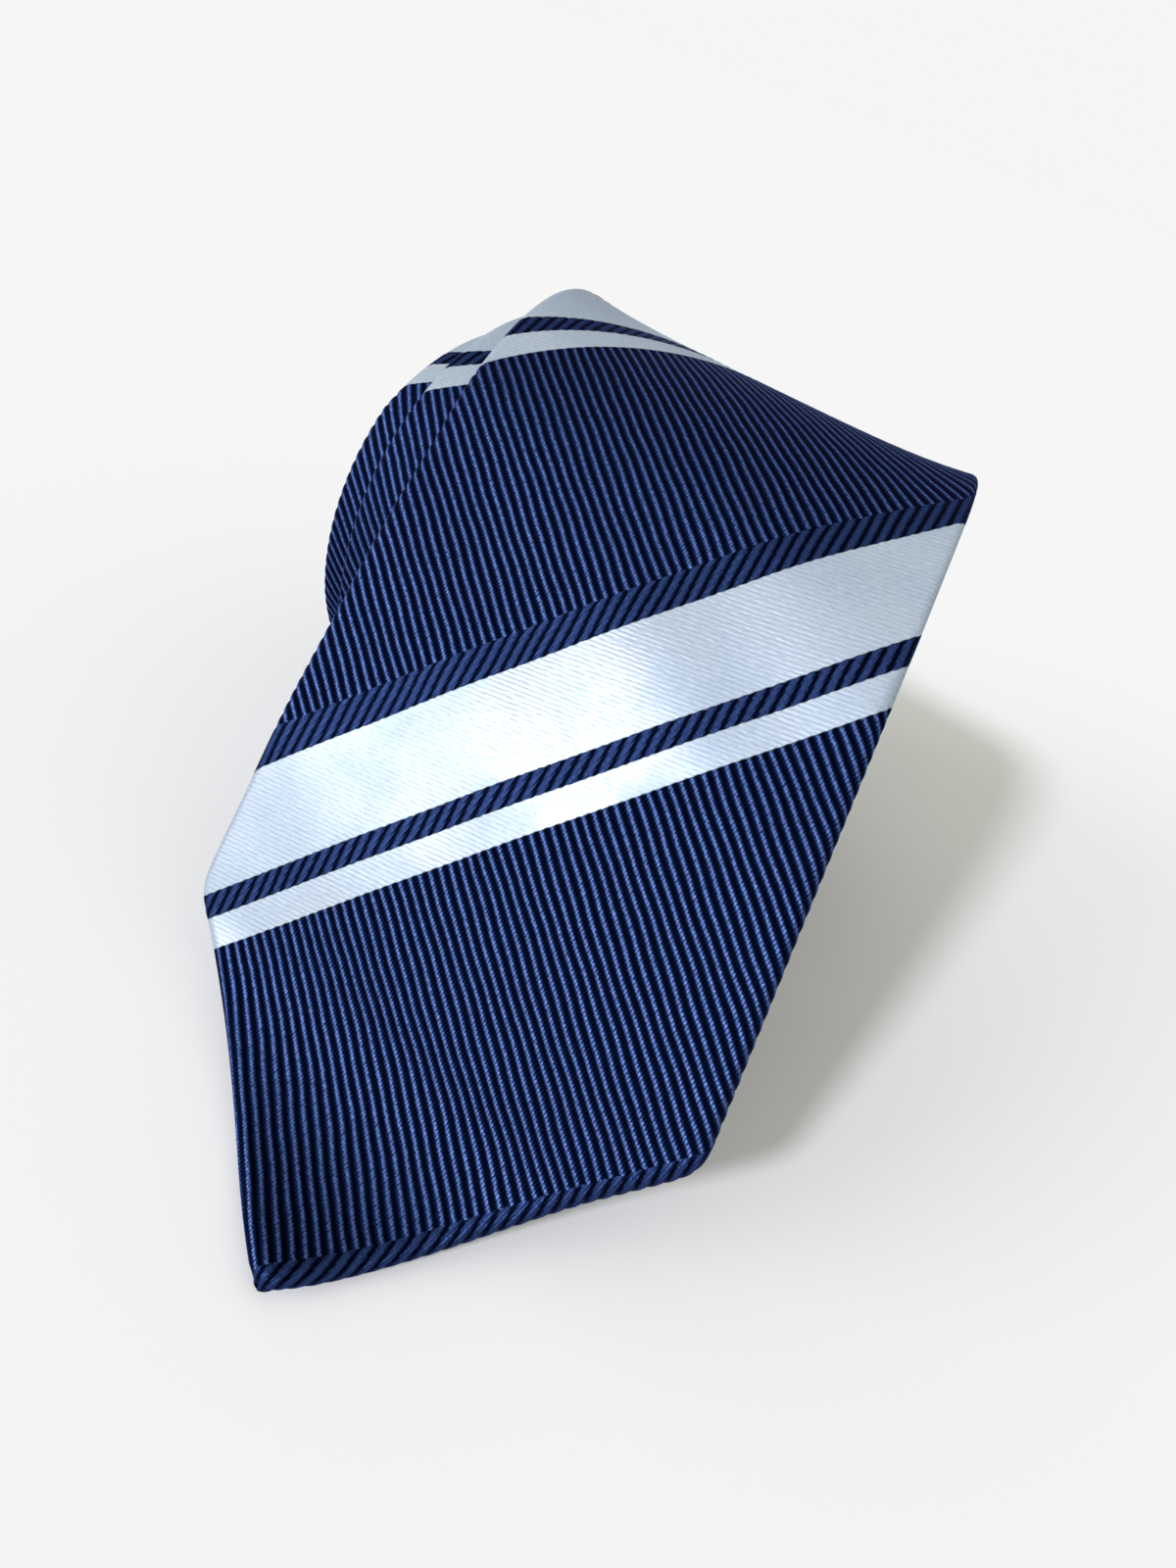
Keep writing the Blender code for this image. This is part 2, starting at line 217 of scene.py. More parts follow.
@dataclass(frozen=True)
class Weave:
    """The striped rep silk: c = s - m x is the same all along a stripe.

    The stripes' places and the pitches are in centimetres of cloth, the depths, the slide and the wander in
    metres. A wander is a wave's height and its length along b and along a.
    """

    slant: float = 0.947
    repeat: float = 9.667
    dark_top: float = 9.993
    ground_end: float = 5.933
    thin_end: float = 6.557
    dark_end: float = 7.012
    wide_end: float = 9.012
    rib_pitch: float = 0.1475
    twill_pitch: float = 0.215
    rib_depth: float = 0.00030
    twill_depth: float = 0.00022
    satin_depth: float = 0.00005
    slide_start: float = 0.188
    slide_ease: float = 0.008
    slide_rate: float = 0.222
    wander_slow: tuple[float, float, float] = (0.00007, 0.023, 0.013)
    wander_quick: tuple[float, float, float] = (0.00004, 0.0087, -0.019)

    @property
    def norm(self) -> float:
        """Length of the stripe's direction vector (1, m)."""
        return math.hypot(1.0, self.slant)

    def along(self, x: Array, s: Array) -> Array:
        """Distance a along the stripes, a = (x + m s) / |(1, m)|."""
        return (x + self.slant * s) / self.norm

    def across(self, x: Array, s: Array) -> Array:
        """Distance b across the stripes, b = (s - m x) / |(1, m)|."""
        return (s - self.slant * x) / self.norm

    def flat(self, a: Array, b: Array) -> tuple[Array, Array]:
        """The flat place (x, s) of (a, b)."""
        return (a - self.slant * b) / self.norm, (self.slant * a + b) / self.norm

    def slide(self, s: Array) -> Array:
        """How far the pattern has crept along the tie: k t^2 / (t + e), t being the way past its start."""
        past = np.clip(s - self.slide_start, 0.0, None)
        return self.slide_rate * past**2 / (past + self.slide_ease)

    def pattern(self, x: Array, s: Array) -> tuple[Array, Array]:
        """Pattern place of a flat place: it creeps across the stripes, and the ribs wander a little.

        The wander is the sum of two slow sines of a and b, added along the stripes.

        Args:
            x: Places across the cloth in metres.
            s: Places along the cloth in metres.

        Returns:
            (x, s) of the same thread on an even cloth.
        """
        creep = self.slide(s) / self.norm**2
        a, b = self.along(x, s), self.across(x, s)
        waves = (
            size * np.sin(2 * np.pi * (b / along_rib + a / over_ribs + start))
            for start, (size, along_rib, over_ribs) in ((0.0, self.wander_slow), (0.3, self.wander_quick))
        )
        wander = sum(waves) / self.norm
        return x - self.slant * creep + wander, s + creep + self.slant * wander

    def relief(self, x: Array, s: Array) -> Array:
        """Depth of the woven surface under the rib tops.

        A rib's section is |cos| to a power below one, so its top is round and its valley narrow. Ribs of
        the ground follow a, ribs of the dark bands follow a - b, and the satin is level.

        Args:
            x: Places across the cloth in metres.
            s: Places along the cloth in metres.

        Returns:
            Heights in metres, 0 on top of a rib and negative between ribs.
        """
        a = self.along(x, s) / CM
        b = self.across(x, s) / CM
        place = np.mod(b * self.norm - self.dark_top, self.repeat)
        ground = place < self.ground_end
        satin = (place >= self.ground_end) & (place < self.thin_end)
        satin |= (place >= self.dark_end) & (place < self.wide_end)
        rib = np.abs(np.cos(np.pi * a / self.rib_pitch)) ** 0.75
        twill = np.abs(np.cos(np.pi * (a - b) / self.twill_pitch)) ** 0.6
        depth = np.where(ground, self.rib_depth * (1 - rib), self.twill_depth * (1 - twill))
        return -np.where(satin, self.satin_depth, depth)

    def lattice(self, low: float, high: float, plain: float, twill: float) -> Array:
        """Places b of the grid lines that run along the stripes.

        Args:
            low: Lowest b in metres.
            high: Highest b in metres.
            plain: Step in the ground and the satin.
            twill: Step in the dark bands.

        Returns:
            Increasing b in metres, with a line close to each side of every stripe's edge.
        """
        period = self.repeat / self.norm * CM
        base = self.dark_top / self.norm * CM
        edges = np.array([0.0, self.ground_end, self.thin_end, self.dark_end, self.wide_end, self.repeat])
        edges = edges / self.norm * CM
        steps = [plain, plain, twill, plain, twill]
        near, next_in = 0.00004, 0.00020
        one = []
        for start, end, step in zip(edges[:-1], edges[1:], steps):
            count = max(2, math.ceil((end - start) / step)) + 1
            one += [[start + near], np.linspace(start + next_in, end - next_in, count), [end - near]]
        first = math.floor((low - base) / period)
        last = math.ceil((high - base) / period)
        repeats = base + period * np.arange(first, last)
        places = (repeats[:, None] + np.concatenate(one)).ravel()
        return places[(places > low - plain) & (places < high + plain)]


# ---------------------------------------------------------------- the tie's course over the roll


class FaceLine:
    """The curve in the YZ plane that the tie's face follows: point, foot, run, crest and spiral."""

    def __init__(self, tie: TieSizes, roll: RollSizes) -> None:
        """Works out samples of the line.

        Args:
            tie: Sizes of the tie.
            roll: Sizes of the roll.
        """
        self.tie = tie
        self.roll = roll
        run = self._run_length()
        free = run + roll.foot_length + roll.point_length
        self.crest = free - self.turned_length(-roll.leaving_turn)
        turn = np.linspace(-roll.leaving_turn, self._last_turn(), 4800)
        turn = np.union1d(turn, [roll.flat_start, roll.flat_start + roll.facet])
        y, z, slope = self._spiral(turn)
        back = np.linspace(0.0, free, 800)
        knots = [0.0, run, run + roll.foot_length, free]
        ends = [slope[0], roll.run_end_slope, roll.point_slope, roll.point_slope]
        tilt = np.interp(back, knots, ends)
        step = back[1] - back[0]
        level = np.concatenate([[0.0], np.cumsum(np.cos(tilt[1:]) + np.cos(tilt[:-1])) * step / 2])
        drop = np.concatenate([[0.0], np.cumsum(np.sin(tilt[1:]) + np.sin(tilt[:-1])) * step / 2])
        self.v = np.concatenate([(free - back)[::-1], (self.crest + self.turned_length(turn))[1:]])
        self.y = np.concatenate([(y[0] - level)[::-1], y[1:]])
        self.z = np.concatenate([(z[0] - drop)[::-1], z[1:]])
        self.slope = np.concatenate([tilt[::-1], slope[1:]])
        self.end = float(self.v[-1])
        self.shift_x = 0.0
        self.shift_y = 0.0

    def turned_length(self, turn: Array) -> Array:
        """Distance along the spiral, r t - k t^2 / 2."""
        return self.roll.crest_radius * turn - self.roll.shrink * turn**2 / 2

    def _spiral(self, turn: Array) -> tuple[Array, Array, Array]:
        """(y, z, slope) on the spiral r = R - k t, pressed flat where it rests on the table.

        Args:
            turn: Turns from the crest, in radians.

        Returns:
            (y from the axis, height over the table, slope).
        """
        roll = self.roll
        radius = roll.crest_radius - roll.shrink * turn
        resting = (turn > roll.flat_start - 1e-6) & (turn < roll.flat_start + roll.facet + 1e-6)
        radius = np.where(resting, roll.axis_height / np.cos(turn - math.pi), radius)
        slope = -turn - np.arctan(roll.shrink / radius)
        return radius * np.sin(turn), roll.axis_height + radius * np.cos(turn), slope

    def _run_length(self) -> float:
        """Length of the straight run that brings the foot down to the table.

        Returns:
            The length in metres.
        """
        roll = self.roll
        _, height, slope = self._spiral(np.array(-roll.leaving_turn))
        level = roll.foot_length * roll.run_end_slope / (roll.run_end_slope - roll.point_slope)
        lowest = self.tie.blade_depth + roll.floor_clearance
        drop = float(height) - lowest - self._arc_drop(level, 0.0, roll.run_end_slope)
        return drop / self._arc_drop(1.0, float(slope), roll.run_end_slope)

    @staticmethod
    def _arc_drop(length: float, slope_a: float, slope_b: float) -> float:
        """Height lost along an arc whose slope goes evenly from one value to another."""
        return length * (math.cos(slope_a) - math.cos(slope_b)) / (slope_b - slope_a)

    def _last_turn(self) -> float:
        """The turn at which the tie's length is used up, measured at its mid-thickness.

        Returns:
            The turn from the crest, in radians.
        """
        radius = self.roll.crest_radius - self.tie.roll_depth / 2
        rolled = self.tie.length - self.crest
        return (radius - math.sqrt(radius**2 - 2 * self.roll.shrink * rolled)) / self.roll.shrink

    def facet_place(self, number: float) -> float:
        """v of a facet's corner, counted from the crest."""
        return float(self.crest + self.turned_length((number - 0.5) * self.roll.facet))

    def nearest_facet(self, where: float) -> float:
        """v of the facet corner nearest to a distance v.

        Args:
            where: A distance along the line.

        Returns:
            The corner's distance.
        """
        last = int(self._last_turn() / self.roll.facet + 0.5)
        places = (self.facet_place(number) for number in range(1, last))
        return min(places, key=lambda place: abs(place - where))

    def move_to(self, hinge: Sequence[float], middle_x: float, seam_u: float) -> None:
        """Brings the line to the frame's place.

        Args:
            hinge: The blade's hinge, on the crest.
            middle_x: X of a piece that is centred on the back seam.
            seam_u: u of the seam at that piece.
        """
        self.shift_y = hinge[1] - float(np.interp(self.crest, self.v, self.y))
        self.shift_x = middle_x - seam_u

    def place(self, u: Array, v: Array, n: Array) -> Array:
        """World points of (u, v, n): the face line's point, moved by n along its normal.

        Args:
            u: Places along the axis.
            v: Distances along the line.
            n: Heights above the face.

        Returns:
            The points, one row of three numbers each.
        """
        y = np.interp(v, self.v, self.y)
        z = np.interp(v, self.v, self.z)
        slope = np.interp(v, self.v, self.slope)
        u, y, z, slope, n = np.broadcast_arrays(u, y, z, slope, n)
        return np.stack(
            [u + self.shift_x, y + self.shift_y - n * np.sin(slope), z + n * np.cos(slope)], axis=-1
        )


class Lay:
    """Where the flat tie lies on the roll, and its outlines."""

    STEP = 0.0005

    def __init__(self, line: FaceLine) -> None:
        """Works out the tie's middle line.

        Args:
            line: The face line that the tie follows.
        """
        roll = line.roll
        self.tie = line.tie
        self.line = line
        self.s = np.arange(0.0, line.end + 0.05, self.STEP)
        values = [roll.blade_skew, roll.roll_skew, roll.roll_skew, 0.0]
        self.skew = np.interp(self.s, roll.skew_changes, values)
        self.u = np.concatenate([[0.0], np.cumsum(np.sin(self.skew[:-1])) * self.STEP])
        self.v = np.concatenate([[0.0], np.cumsum(np.cos(self.skew[:-1])) * self.STEP])
        self.face_length = float(np.interp(line.end, self.v, self.s))

    def place(self, u: Array, v: Array, n: Array) -> Array:
        """World points of (u, v, n); over the crest the edges curl up as h w^4 g.

        Here w is the share of the half width and g a bell curve along the tie. The second and third turns
        lie a little to one side of the even spiral.

        Args:
            u: Places along the axis.
            v: Distances along the face line.
            n: Heights above the face.

        Returns:
            The points, one row of three numbers each.
        """
        roll = self.line.roll
        past = v - self.line.crest
        share = np.clip((u - self.seam(v)) / roll.curl_half_width, -1.1, 1.1)
        curl = roll.curl_height * share**4 * np.exp(-(((past + 0.002) / roll.curl_reach) ** 2))
        aside = np.interp(past, roll.shift_places, roll.shifts)
        return self.line.place(u + aside, v, n + curl)

    def on_roll(self, x: Array, s: Array) -> tuple[Array, Array]:
        """(u, v) of a flat place.

        Args:
            x: Places across the tie.
            s: Places along the tie.

        Returns:
            (u, v), the cloth leaning by its skew.
        """
        lean = np.interp(s, self.s, self.skew)
        u = np.interp(s, self.s, self.u) + x * np.cos(lean)
        return u, np.interp(s, self.s, self.v) - x * np.sin(lean)

    def flat_at(self, x: Array, v: float) -> Array:
        """s at which the cloth's place x lies on the line of equal v.

        Args:
            x: Places across the tie.
            v: The distance along the face line.

        Returns:
            s for each x, found by repeated steps.
        """
        s = np.full(np.shape(x), np.interp(v, self.v, self.s))
        for _ in range(6):
            s = np.interp(v + x * np.sin(np.interp(s, self.s, self.skew)), self.v, self.s)
        return s

    def seam(self, v: Array) -> Array:
        """u of the back seam."""
        return np.interp(v, self.v, self.u)

    def depth(self, v: Array) -> Array:
        """Whole thickness of the tie at a distance v.

        Args:
            v: Distances along the face line.

        Returns:
            The thickness, greater where the tie is lined.
        """
        tie = self.tie
        lined = tie.blade_opening + tie.tipping_overlap
        tail = self.line.end - tie.tail_opening - tie.tipping_overlap
        knots = [lined + 0.002, lined + 0.010, tail - 0.010, tail - 0.002]
        return np.interp(v, knots, [tie.blade_depth, tie.roll_depth, tie.roll_depth, tie.blade_depth])

    def outline(self, inset: float) -> tuple[list[float], Array]:
        """(s, half width) knots of the outline, moved in by inset.

        Args:
            inset: Distance from the edge.

        Returns:
            (s, half width) at the point, shoulder, start and end of the neck, shoulder and point.
        """
        tie = self.tie
        lean = tie.blade_half_width / tie.blade_shoulder
        tail_lean = tie.tail_half_width / tie.tail_shoulder
        point = inset * math.hypot(1.0, lean) / lean
        tail_point = inset * math.hypot(1.0, tail_lean) / tail_lean
        neck_start = tie.blade_shoulder + (tie.blade_half_width - tie.neck_half_width) / tie.blade_taper
        knots = [
            point,
            point + (tie.blade_half_width - inset) / lean,
            neck_start,
            tie.neck_end,
            self.face_length - tail_point - (tie.tail_half_width - inset) / tail_lean,
            self.face_length - tail_point,
        ]
        wide, neck, tail = tie.blade_half_width, tie.neck_half_width, tie.tail_half_width
        return knots, np.array([inset, wide, neck, neck, tail, inset]) - inset

    def half_width(self, s: Array, inset: float = 0.0) -> Array:
        """Half the tie's width at s."""
        return np.interp(s, *self.outline(inset))

    def half_gap(self, s: Array) -> Array:
        """Half the gap between the two back flaps: a slit, but for the lined openings at both ends.

        Args:
            s: Places along the tie.

        Returns:
            Half the gap.
        """
        tie = self.tie
        front, front_half = self.outline(tie.hem)
        tail, tail_half = self.outline(tie.tail_hem)
        closed = [tie.blade_opening, self.face_length - tie.tail_opening]
        knots = [front[0], front[1], *closed, tail[4], tail[5]]
        return np.interp(s, knots, [tie.slit, front_half[1], tie.slit, tie.slit, tail_half[4], tie.slit])

    def inner_edges(self, v: Array) -> tuple[Array, Array]:
        """u of the inner layers' left and right edge at v.

        Args:
            v: Distances along the face line.

        Returns:
            (left, right).
        """
        s = np.arange(0.0, self.face_length, self.STEP)
        found = []
        for side in (-1, 1):
            u, along = self.on_roll(side * self.half_width(s, self.tie.inner_inset), s)
            found.append(np.interp(v, along, u))
        return found[0], found[1]


# ---------------------------------------------------------------- meshes


def make_mesh(name: str, points: Array, faces: Array, flat: Array) -> bpy.types.Object:
    """An object from points and triangles.

    Args:
        name: The piece's name.
        points: World points, one row each.
        faces: Corner numbers, one row a face.
        flat: The cloth's flat place of each point, in centimetres.

    Returns:
        The new object, shaded smooth, with the flat places as its UV map.
    """
    used, inverse = np.unique(faces, return_inverse=True)
    faces = inverse.reshape(faces.shape)
    points, flat = points[used], flat[used]
    sides = faces.shape[1]
    mesh = bpy.data.meshes.new(name)
    mesh.vertices.add(len(points))
    mesh.vertices.foreach_set("co", points.astype(np.float32).ravel())
    mesh.loops.add(faces.size)
    mesh.loops.foreach_set("vertex_index", faces.astype(np.int32).ravel())
    mesh.polygons.add(len(faces))
    mesh.polygons.foreach_set("loop_start", np.arange(0, faces.size, sides, dtype=np.int32))
    mesh.polygons.foreach_set("loop_total", np.full(len(faces), sides, dtype=np.int32))
    mesh.update(calc_edges=True)
    layer = mesh.uv_layers.new(name=UV_NAME)
    layer.data.foreach_set("uv", flat[faces.ravel()].astype(np.float32).ravel())
    mesh.validate()
    mesh.shade_smooth()
    obj = bpy.data.objects.new(name, mesh)
    bpy.context.scene.collection.objects.link(obj)
    return obj


def face_outward(obj: bpy.types.Object) -> None:
    """Turns the faces of a closed mesh to point outward.

    Args:
        obj: The piece.
    """
    mesh = bmesh.new()
    mesh.from_mesh(obj.data)
    bmesh.ops.recalc_face_normals(mesh, faces=mesh.faces)
    mesh.to_mesh(obj.data)
    mesh.free()


def grid_faces(index: Array) -> Array:
    """Triangles over a grid of corner numbers; those that have collapsed are left out.

    Args:
        index: Corner numbers, rows along the first axis.

    Returns:
        One row of three corner numbers for each triangle.
    """
    a, b = index[:-1, :-1].ravel(), index[1:, :-1].ravel()
    c, d = index[1:, 1:].ravel(), index[:-1, 1:].ravel()
    faces = np.concatenate([np.stack([a, b, c], 1), np.stack([a, c, d], 1)])
    sound = (faces[:, 0] != faces[:, 1]) & (faces[:, 1] != faces[:, 2]) & (faces[:, 2] != faces[:, 0])
    return faces[sound]


@dataclass(frozen=True)
class Grain:
    """How fine a cloth piece's grid is: row step, column step in the plain parts and in the dark bands."""

    rows: float
    plain: float
    twill: float
    back_columns: int


class FoldedCloth:
    """One length of the outer cloth: a ribbed face, rolled edges and two back flaps.

    The face is a grid whose rows follow the ribs and whose columns follow the stripes. A row's ends lie on
    the outline, where the edge turns over as a half circle of half the tie's thickness. A flap's row runs
    straight inward, so that round the edge it goes SIDE_ROW times as far as the edge is deep, and POINT_ROW
    times at the slanting points.
    """

    EDGE_ANGLES = np.radians([0.0, 14.0, 28.0, 43.0, 58.0, 74.0, 90.0])
    EDGE_REACH = 0.0045
    NEAR = 0.0001
    SIDE_STEP = 0.00025
    LIP = 0.0030
    LIP_ROUND = 0.00015
    BLADE_ROUND = 0.0022
    TAIL_ROUND = 0.0009
    SIDE_ROW = 1.05
    POINT_ROW = 1.5
    WAVE_HEIGHT = 0.00016
    WAVE_SPAN = (0.030, 0.055, 0.105, 0.135)

    def __init__(self, lay: Lay, weave: Weave, grain: Grain, start: float, end: float) -> None:
        """Prepares one length.

        Args:
            lay: The tie on the roll.
            weave: The cloth's stripes and ribs.
            grain: How fine the grid is.
            start: v of its lower end.
            end: v of its upper end.
        """
        self.lay = lay
        self.weave = weave
        self.grain = grain
        self.start = start
        self.end = end

    def _side(self, side: int) -> Array:
        """Flat places up one side of the length, from its start to its end.

        Args:
            side: -1 for the left and 1 for the right.

        Returns:
            The places (x, s), one row each.
        """
        lay = self.lay
        ends = []
        for v in (self.start, self.end):
            s = np.array(float(np.clip(v, 0.0, lay.face_length)))
            for _ in range(8):
                s = lay.flat_at(side * lay.half_width(s), v)
            ends.append(float(np.clip(s, 0.0, lay.face_length)))
        if self.start <= 0.0:
            ends[0] = 0.0
        if self.end >= lay.line.end:
            ends[1] = lay.face_length
        s = np.linspace(ends[0], ends[1], max(8, math.ceil((ends[1] - ends[0]) / self.SIDE_STEP)))
        knots = np.array(lay.outline(0.0)[0])
        s = np.union1d(s, knots[(knots > ends[0]) & (knots < ends[1])])
        return np.stack([side * lay.half_width(s), s], 1)

    def _cut(self, v: float, left: Array, right: Array) -> Array:
        """Flat places along a cut at equal v, from left to right."""
        x = np.linspace(left[0], right[0], 400)
        return np.stack([x, self.lay.flat_at(x, v)], 1)

    @staticmethod
    def _rounded(path: Array, radius: float) -> Array:
        """A path at even steps with its corners eased, by a running mean whose weights are a bell curve.

        Args:
            path: Places (x, s), one row each.
            radius: Width of the bell curve.

        Returns:
            The eased path.
        """
        step = 0.0001
        run = np.concatenate([[0.0], np.cumsum(np.linalg.norm(np.diff(path, axis=0), axis=1))])
        even = np.linspace(0.0, run[-1], max(8, int(run[-1] / step)))
        path = np.stack([np.interp(even, run, path[:, axis]) for axis in (0, 1)], 1)
        reach = int(4 * radius / step)
        weights = np.exp(-0.5 * (np.arange(-reach, reach + 1) * step / radius) ** 2)
        weights /= weights.sum()
        first = path[0] + (path[0] - path[1]) * np.arange(reach, 0, -1)[:, None]
        last = path[-1] + (path[-1] - path[-2]) * np.arange(1, reach + 1)[:, None]
        padded = np.concatenate([first, path, last])
        return np.stack([np.convolve(padded[:, axis], weights, "valid") for axis in (0, 1)], 1)

    def _boundary(self) -> tuple[Array, Array]:
        """The closed outline, counterclockwise.

        Returns:
            (places, whether each is on an edge and not on a cut).
        """
        left, right = self._side(-1)[::-1], self._side(1)
        if self.start <= 0.0:
            edge = self._rounded(np.concatenate([left, right[1:]]), self.BLADE_ROUND)
            cut = self._cut(self.end, edge[0], edge[-1])[::-1]
            parts = [(edge, True), (cut[1:-1], False)]
        elif self.end >= self.lay.line.end:
            edge = self._rounded(np.concatenate([right, left[1:]]), self.TAIL_ROUND)
            cut = self._cut(self.start, edge[-1], edge[0])
            parts = [(cut[1:-1], False), (edge, True)]
        else:
            low = self._cut(self.start, left[-1], right[0])
            high = self._cut(self.end, left[0], right[-1])[::-1]
            parts = [(low[1:-1], False), (right, True), (high[1:-1], False), (left, True)]
        places = np.concatenate([part for part, _ in parts])
        marks = np.concatenate([np.full(len(part), mark) for part, mark in parts])
        return places, marks

    def _nearest_edge(
        self, x: Array, s: Array, places: Array, marks: Array
    ) -> tuple[Array, Array, Array]:
        """Distance to the nearest edge and its outward direction.

        Args:
            x: Flat places across.
            s: Flat places along.
            places: The closed outline.
            marks: Which of its places are on an edge.

        Returns:
            (distance, outward x, outward s), the distance being large away from the edges.
        """
        ahead = np.roll(places, -1, axis=0) - np.roll(places, 1, axis=0)
        ahead /= np.maximum(np.linalg.norm(ahead, axis=1), 1e-12)[:, None]
        outward = np.stack([ahead[:, 1], -ahead[:, 0]], 1)
        keep = marks & np.roll(marks, 1) & np.roll(marks, -1)
        edge, outward = places[keep], outward[keep]
        reach = self.EDGE_REACH
        far = np.full(x.shape, reach)
        out_x, out_s = np.zeros(x.shape), np.zeros(x.shape)
        near = np.nonzero(self.lay.half_width(s) - np.abs(x) < reach)[0]
        order = near[np.argsort(s[near])]
        sides = np.argsort(edge[:, 1])
        sorted_s = edge[sides, 1]
        for chunk in np.array_split(order, max(1, len(order) // 1500)):
            if not len(chunk):
                continue
            window = np.searchsorted(sorted_s, [s[chunk[0]] - reach, s[chunk[-1]] + reach])
            some = sides[window[0]:window[1]]
            if not len(some):
                continue
            gap_x = edge[some, 0] - x[chunk][:, None]
            gap_s = edge[some, 1] - s[chunk][:, None]
            best = some[np.argmin(gap_x**2 + gap_s**2, axis=1)]
            direct = outward[best]
            gap = edge[best] - np.stack([x[chunk], s[chunk]], 1)
            far[chunk] = np.clip(np.sum(gap * direct, axis=1), 0.0, reach)
            out_x[chunk], out_s[chunk] = direct[:, 0], direct[:, 1]
        return far, out_x, out_s

    def _surface(
        self, x: Array, s: Array, edge: tuple[Array, Array, Array], back: bool
    ) -> tuple[Array, Array]:
        """World points and pattern places of the cloth at flat places.

        The edge is a half circle of radius r: at distance d inside the outline its angle t has
        d = r (1 - cos t), and it stands r (1 - sin t) under the face or over the back. The pattern goes on
        round it by arc length. The ribs' relief is taken along the surface's own normal.

        Args:
            x: Flat places across.
            s: Flat places along.
            edge: Distance and outward direction of the nearest edge.
            back: Whether this is the back flap.

        Returns:
            (world points, pattern places in centimetres).
        """
        distance, out_x, out_s = edge
        _, v = self.lay.on_roll(x, s)
        depth = self.lay.depth(v)
        radius = depth / 2
        angle = np.arccos(np.clip(1 - distance / radius, 0.0, 1.0))
        arc = np.where(distance < radius, radius * angle, distance + (math.pi / 2 - 1) * radius)
        spare = (math.pi / 2 - 1) * radius
        travel = distance + spare + arc if back else spare - (arc - distance)
        pattern_x, pattern_s = self.weave.pattern(x + travel * out_x, s + travel * out_s)
        relief = self.weave.relief(pattern_x, pattern_s)
        under = radius * (1 - np.sin(angle)) - relief * np.sin(angle)
        n = under - depth if back else -under
        push = relief * np.cos(angle)
        x, s = x + push * out_x, s + push * out_s
        u, v = self.lay.on_roll(x, s)
        points = self.lay.place(u, v, n + self._wave(x, s))
        return points, np.stack([pattern_x, pattern_s], 1) / CM

    def _wave(self, x: Array, s: Array) -> Array:
        """Soft unevenness of the free blade, two slow sines that die out at the foot and at the crest.

        Args:
            x: Places across the tie.
            s: Places along the tie.

        Returns:
            Heights above the even face.
        """
        fade = np.interp(s, self.WAVE_SPAN, (0.0, 1.0, 1.0, 0.0))
        slow = np.sin(2 * np.pi * (x * 0.8 + s) / 0.031 + 0.7)
        slower = 0.7 * np.sin(2 * np.pi * (x - s * 0.35) / 0.043)
        return self.WAVE_HEIGHT * fade * (slow + slower)

    def _rows(self, places: Array, marks: Array) -> tuple[Array, Array, Array, Array, Array]:
        """Where each rib-wise row starts and ends.

        Args:
            places: The closed outline, counterclockwise.
            marks: Which of its places are on an edge.

        Returns:
            (a, b at the low end, b at the high end, low end on an edge, high end on an edge).
        """
        a = self.weave.along(places[:, 0], places[:, 1])
        b = self.weave.across(places[:, 0], places[:, 1])
        first, last = int(np.argmin(a)), int(np.argmax(a))
        turn = np.roll(np.arange(len(a)), -first)
        split = int(np.nonzero(turn == last)[0][0])
        low, high = turn[: split + 1], np.concatenate([[first], turn[split:][::-1]])
        step = self.grain.rows
        rows = np.arange(math.floor(a[first] / step) + 1, math.ceil(a[last] / step)) * step
        rows = rows[(rows > a[first] + 2e-6) & (rows < a[last] - 2e-6)]
        ends, on_edge = [], []
        for chain in (low, high):
            rising = np.maximum.accumulate(a[chain])
            ends.append(np.interp(rows, rising, b[chain]))
            on_edge.append(np.interp(rows, rising, marks[chain].astype(float)) > 0.5)
        return rows, *ends, *on_edge

    def _grid(self, places: Array, rows: Array, low: Array, high: Array) -> tuple[Array, Array]:
        """The face's columns.

        Args:
            places: The closed outline.
            rows: a of each row.
            low: b where each row starts.
            high: b where each row ends.

        Returns:
            (b of each grid point, corner numbers), columns outside a row sharing the row's nearest corner.
        """
        weave, grain = self.weave, self.grain
        most = float(weave.slide(places[:, 1]).max()) / weave.norm
        lattice = weave.lattice(float(low.min()), float(high.max()) + most, grain.plain, grain.twill)
        radius = self.lay.tie.blade_depth / 2
        insets = radius * (1 - np.cos(self.EDGE_ANGLES)) * weave.norm / weave.slant
        # a short row's insets are drawn together, so that both ends fit
        scale = np.minimum(1.0, (high - low) / (2.2 * insets[-1]))
        starts = low[:, None] + insets * scale[:, None]
        ends = (high[:, None] - insets * scale[:, None])[:, ::-1]
        inner = np.broadcast_to(lattice, (len(rows), len(lattice)))
        # the lines follow the creeping pattern: b + slide(s) / |(1, m)| stays the same along each
        for _ in range(8):
            inner = lattice - weave.slide(weave.flat(rows[:, None], inner)[1]) / weave.norm
        margin = 0.2 * grain.twill
        below = inner <= starts[:, -1:] + margin
        above = inner >= ends[:, :1] - margin
        columns = np.concatenate([starts, inner, ends], axis=1)
        index = np.arange(columns.size).reshape(columns.shape)
        count = len(insets)
        middle = index[:, count:-count]
        middle[below] = np.broadcast_to(index[:, count - 1:count], middle.shape)[below]
        middle[above] = np.broadcast_to(index[:, -count:index.shape[1] - count + 1], middle.shape)[above]
        return columns, index

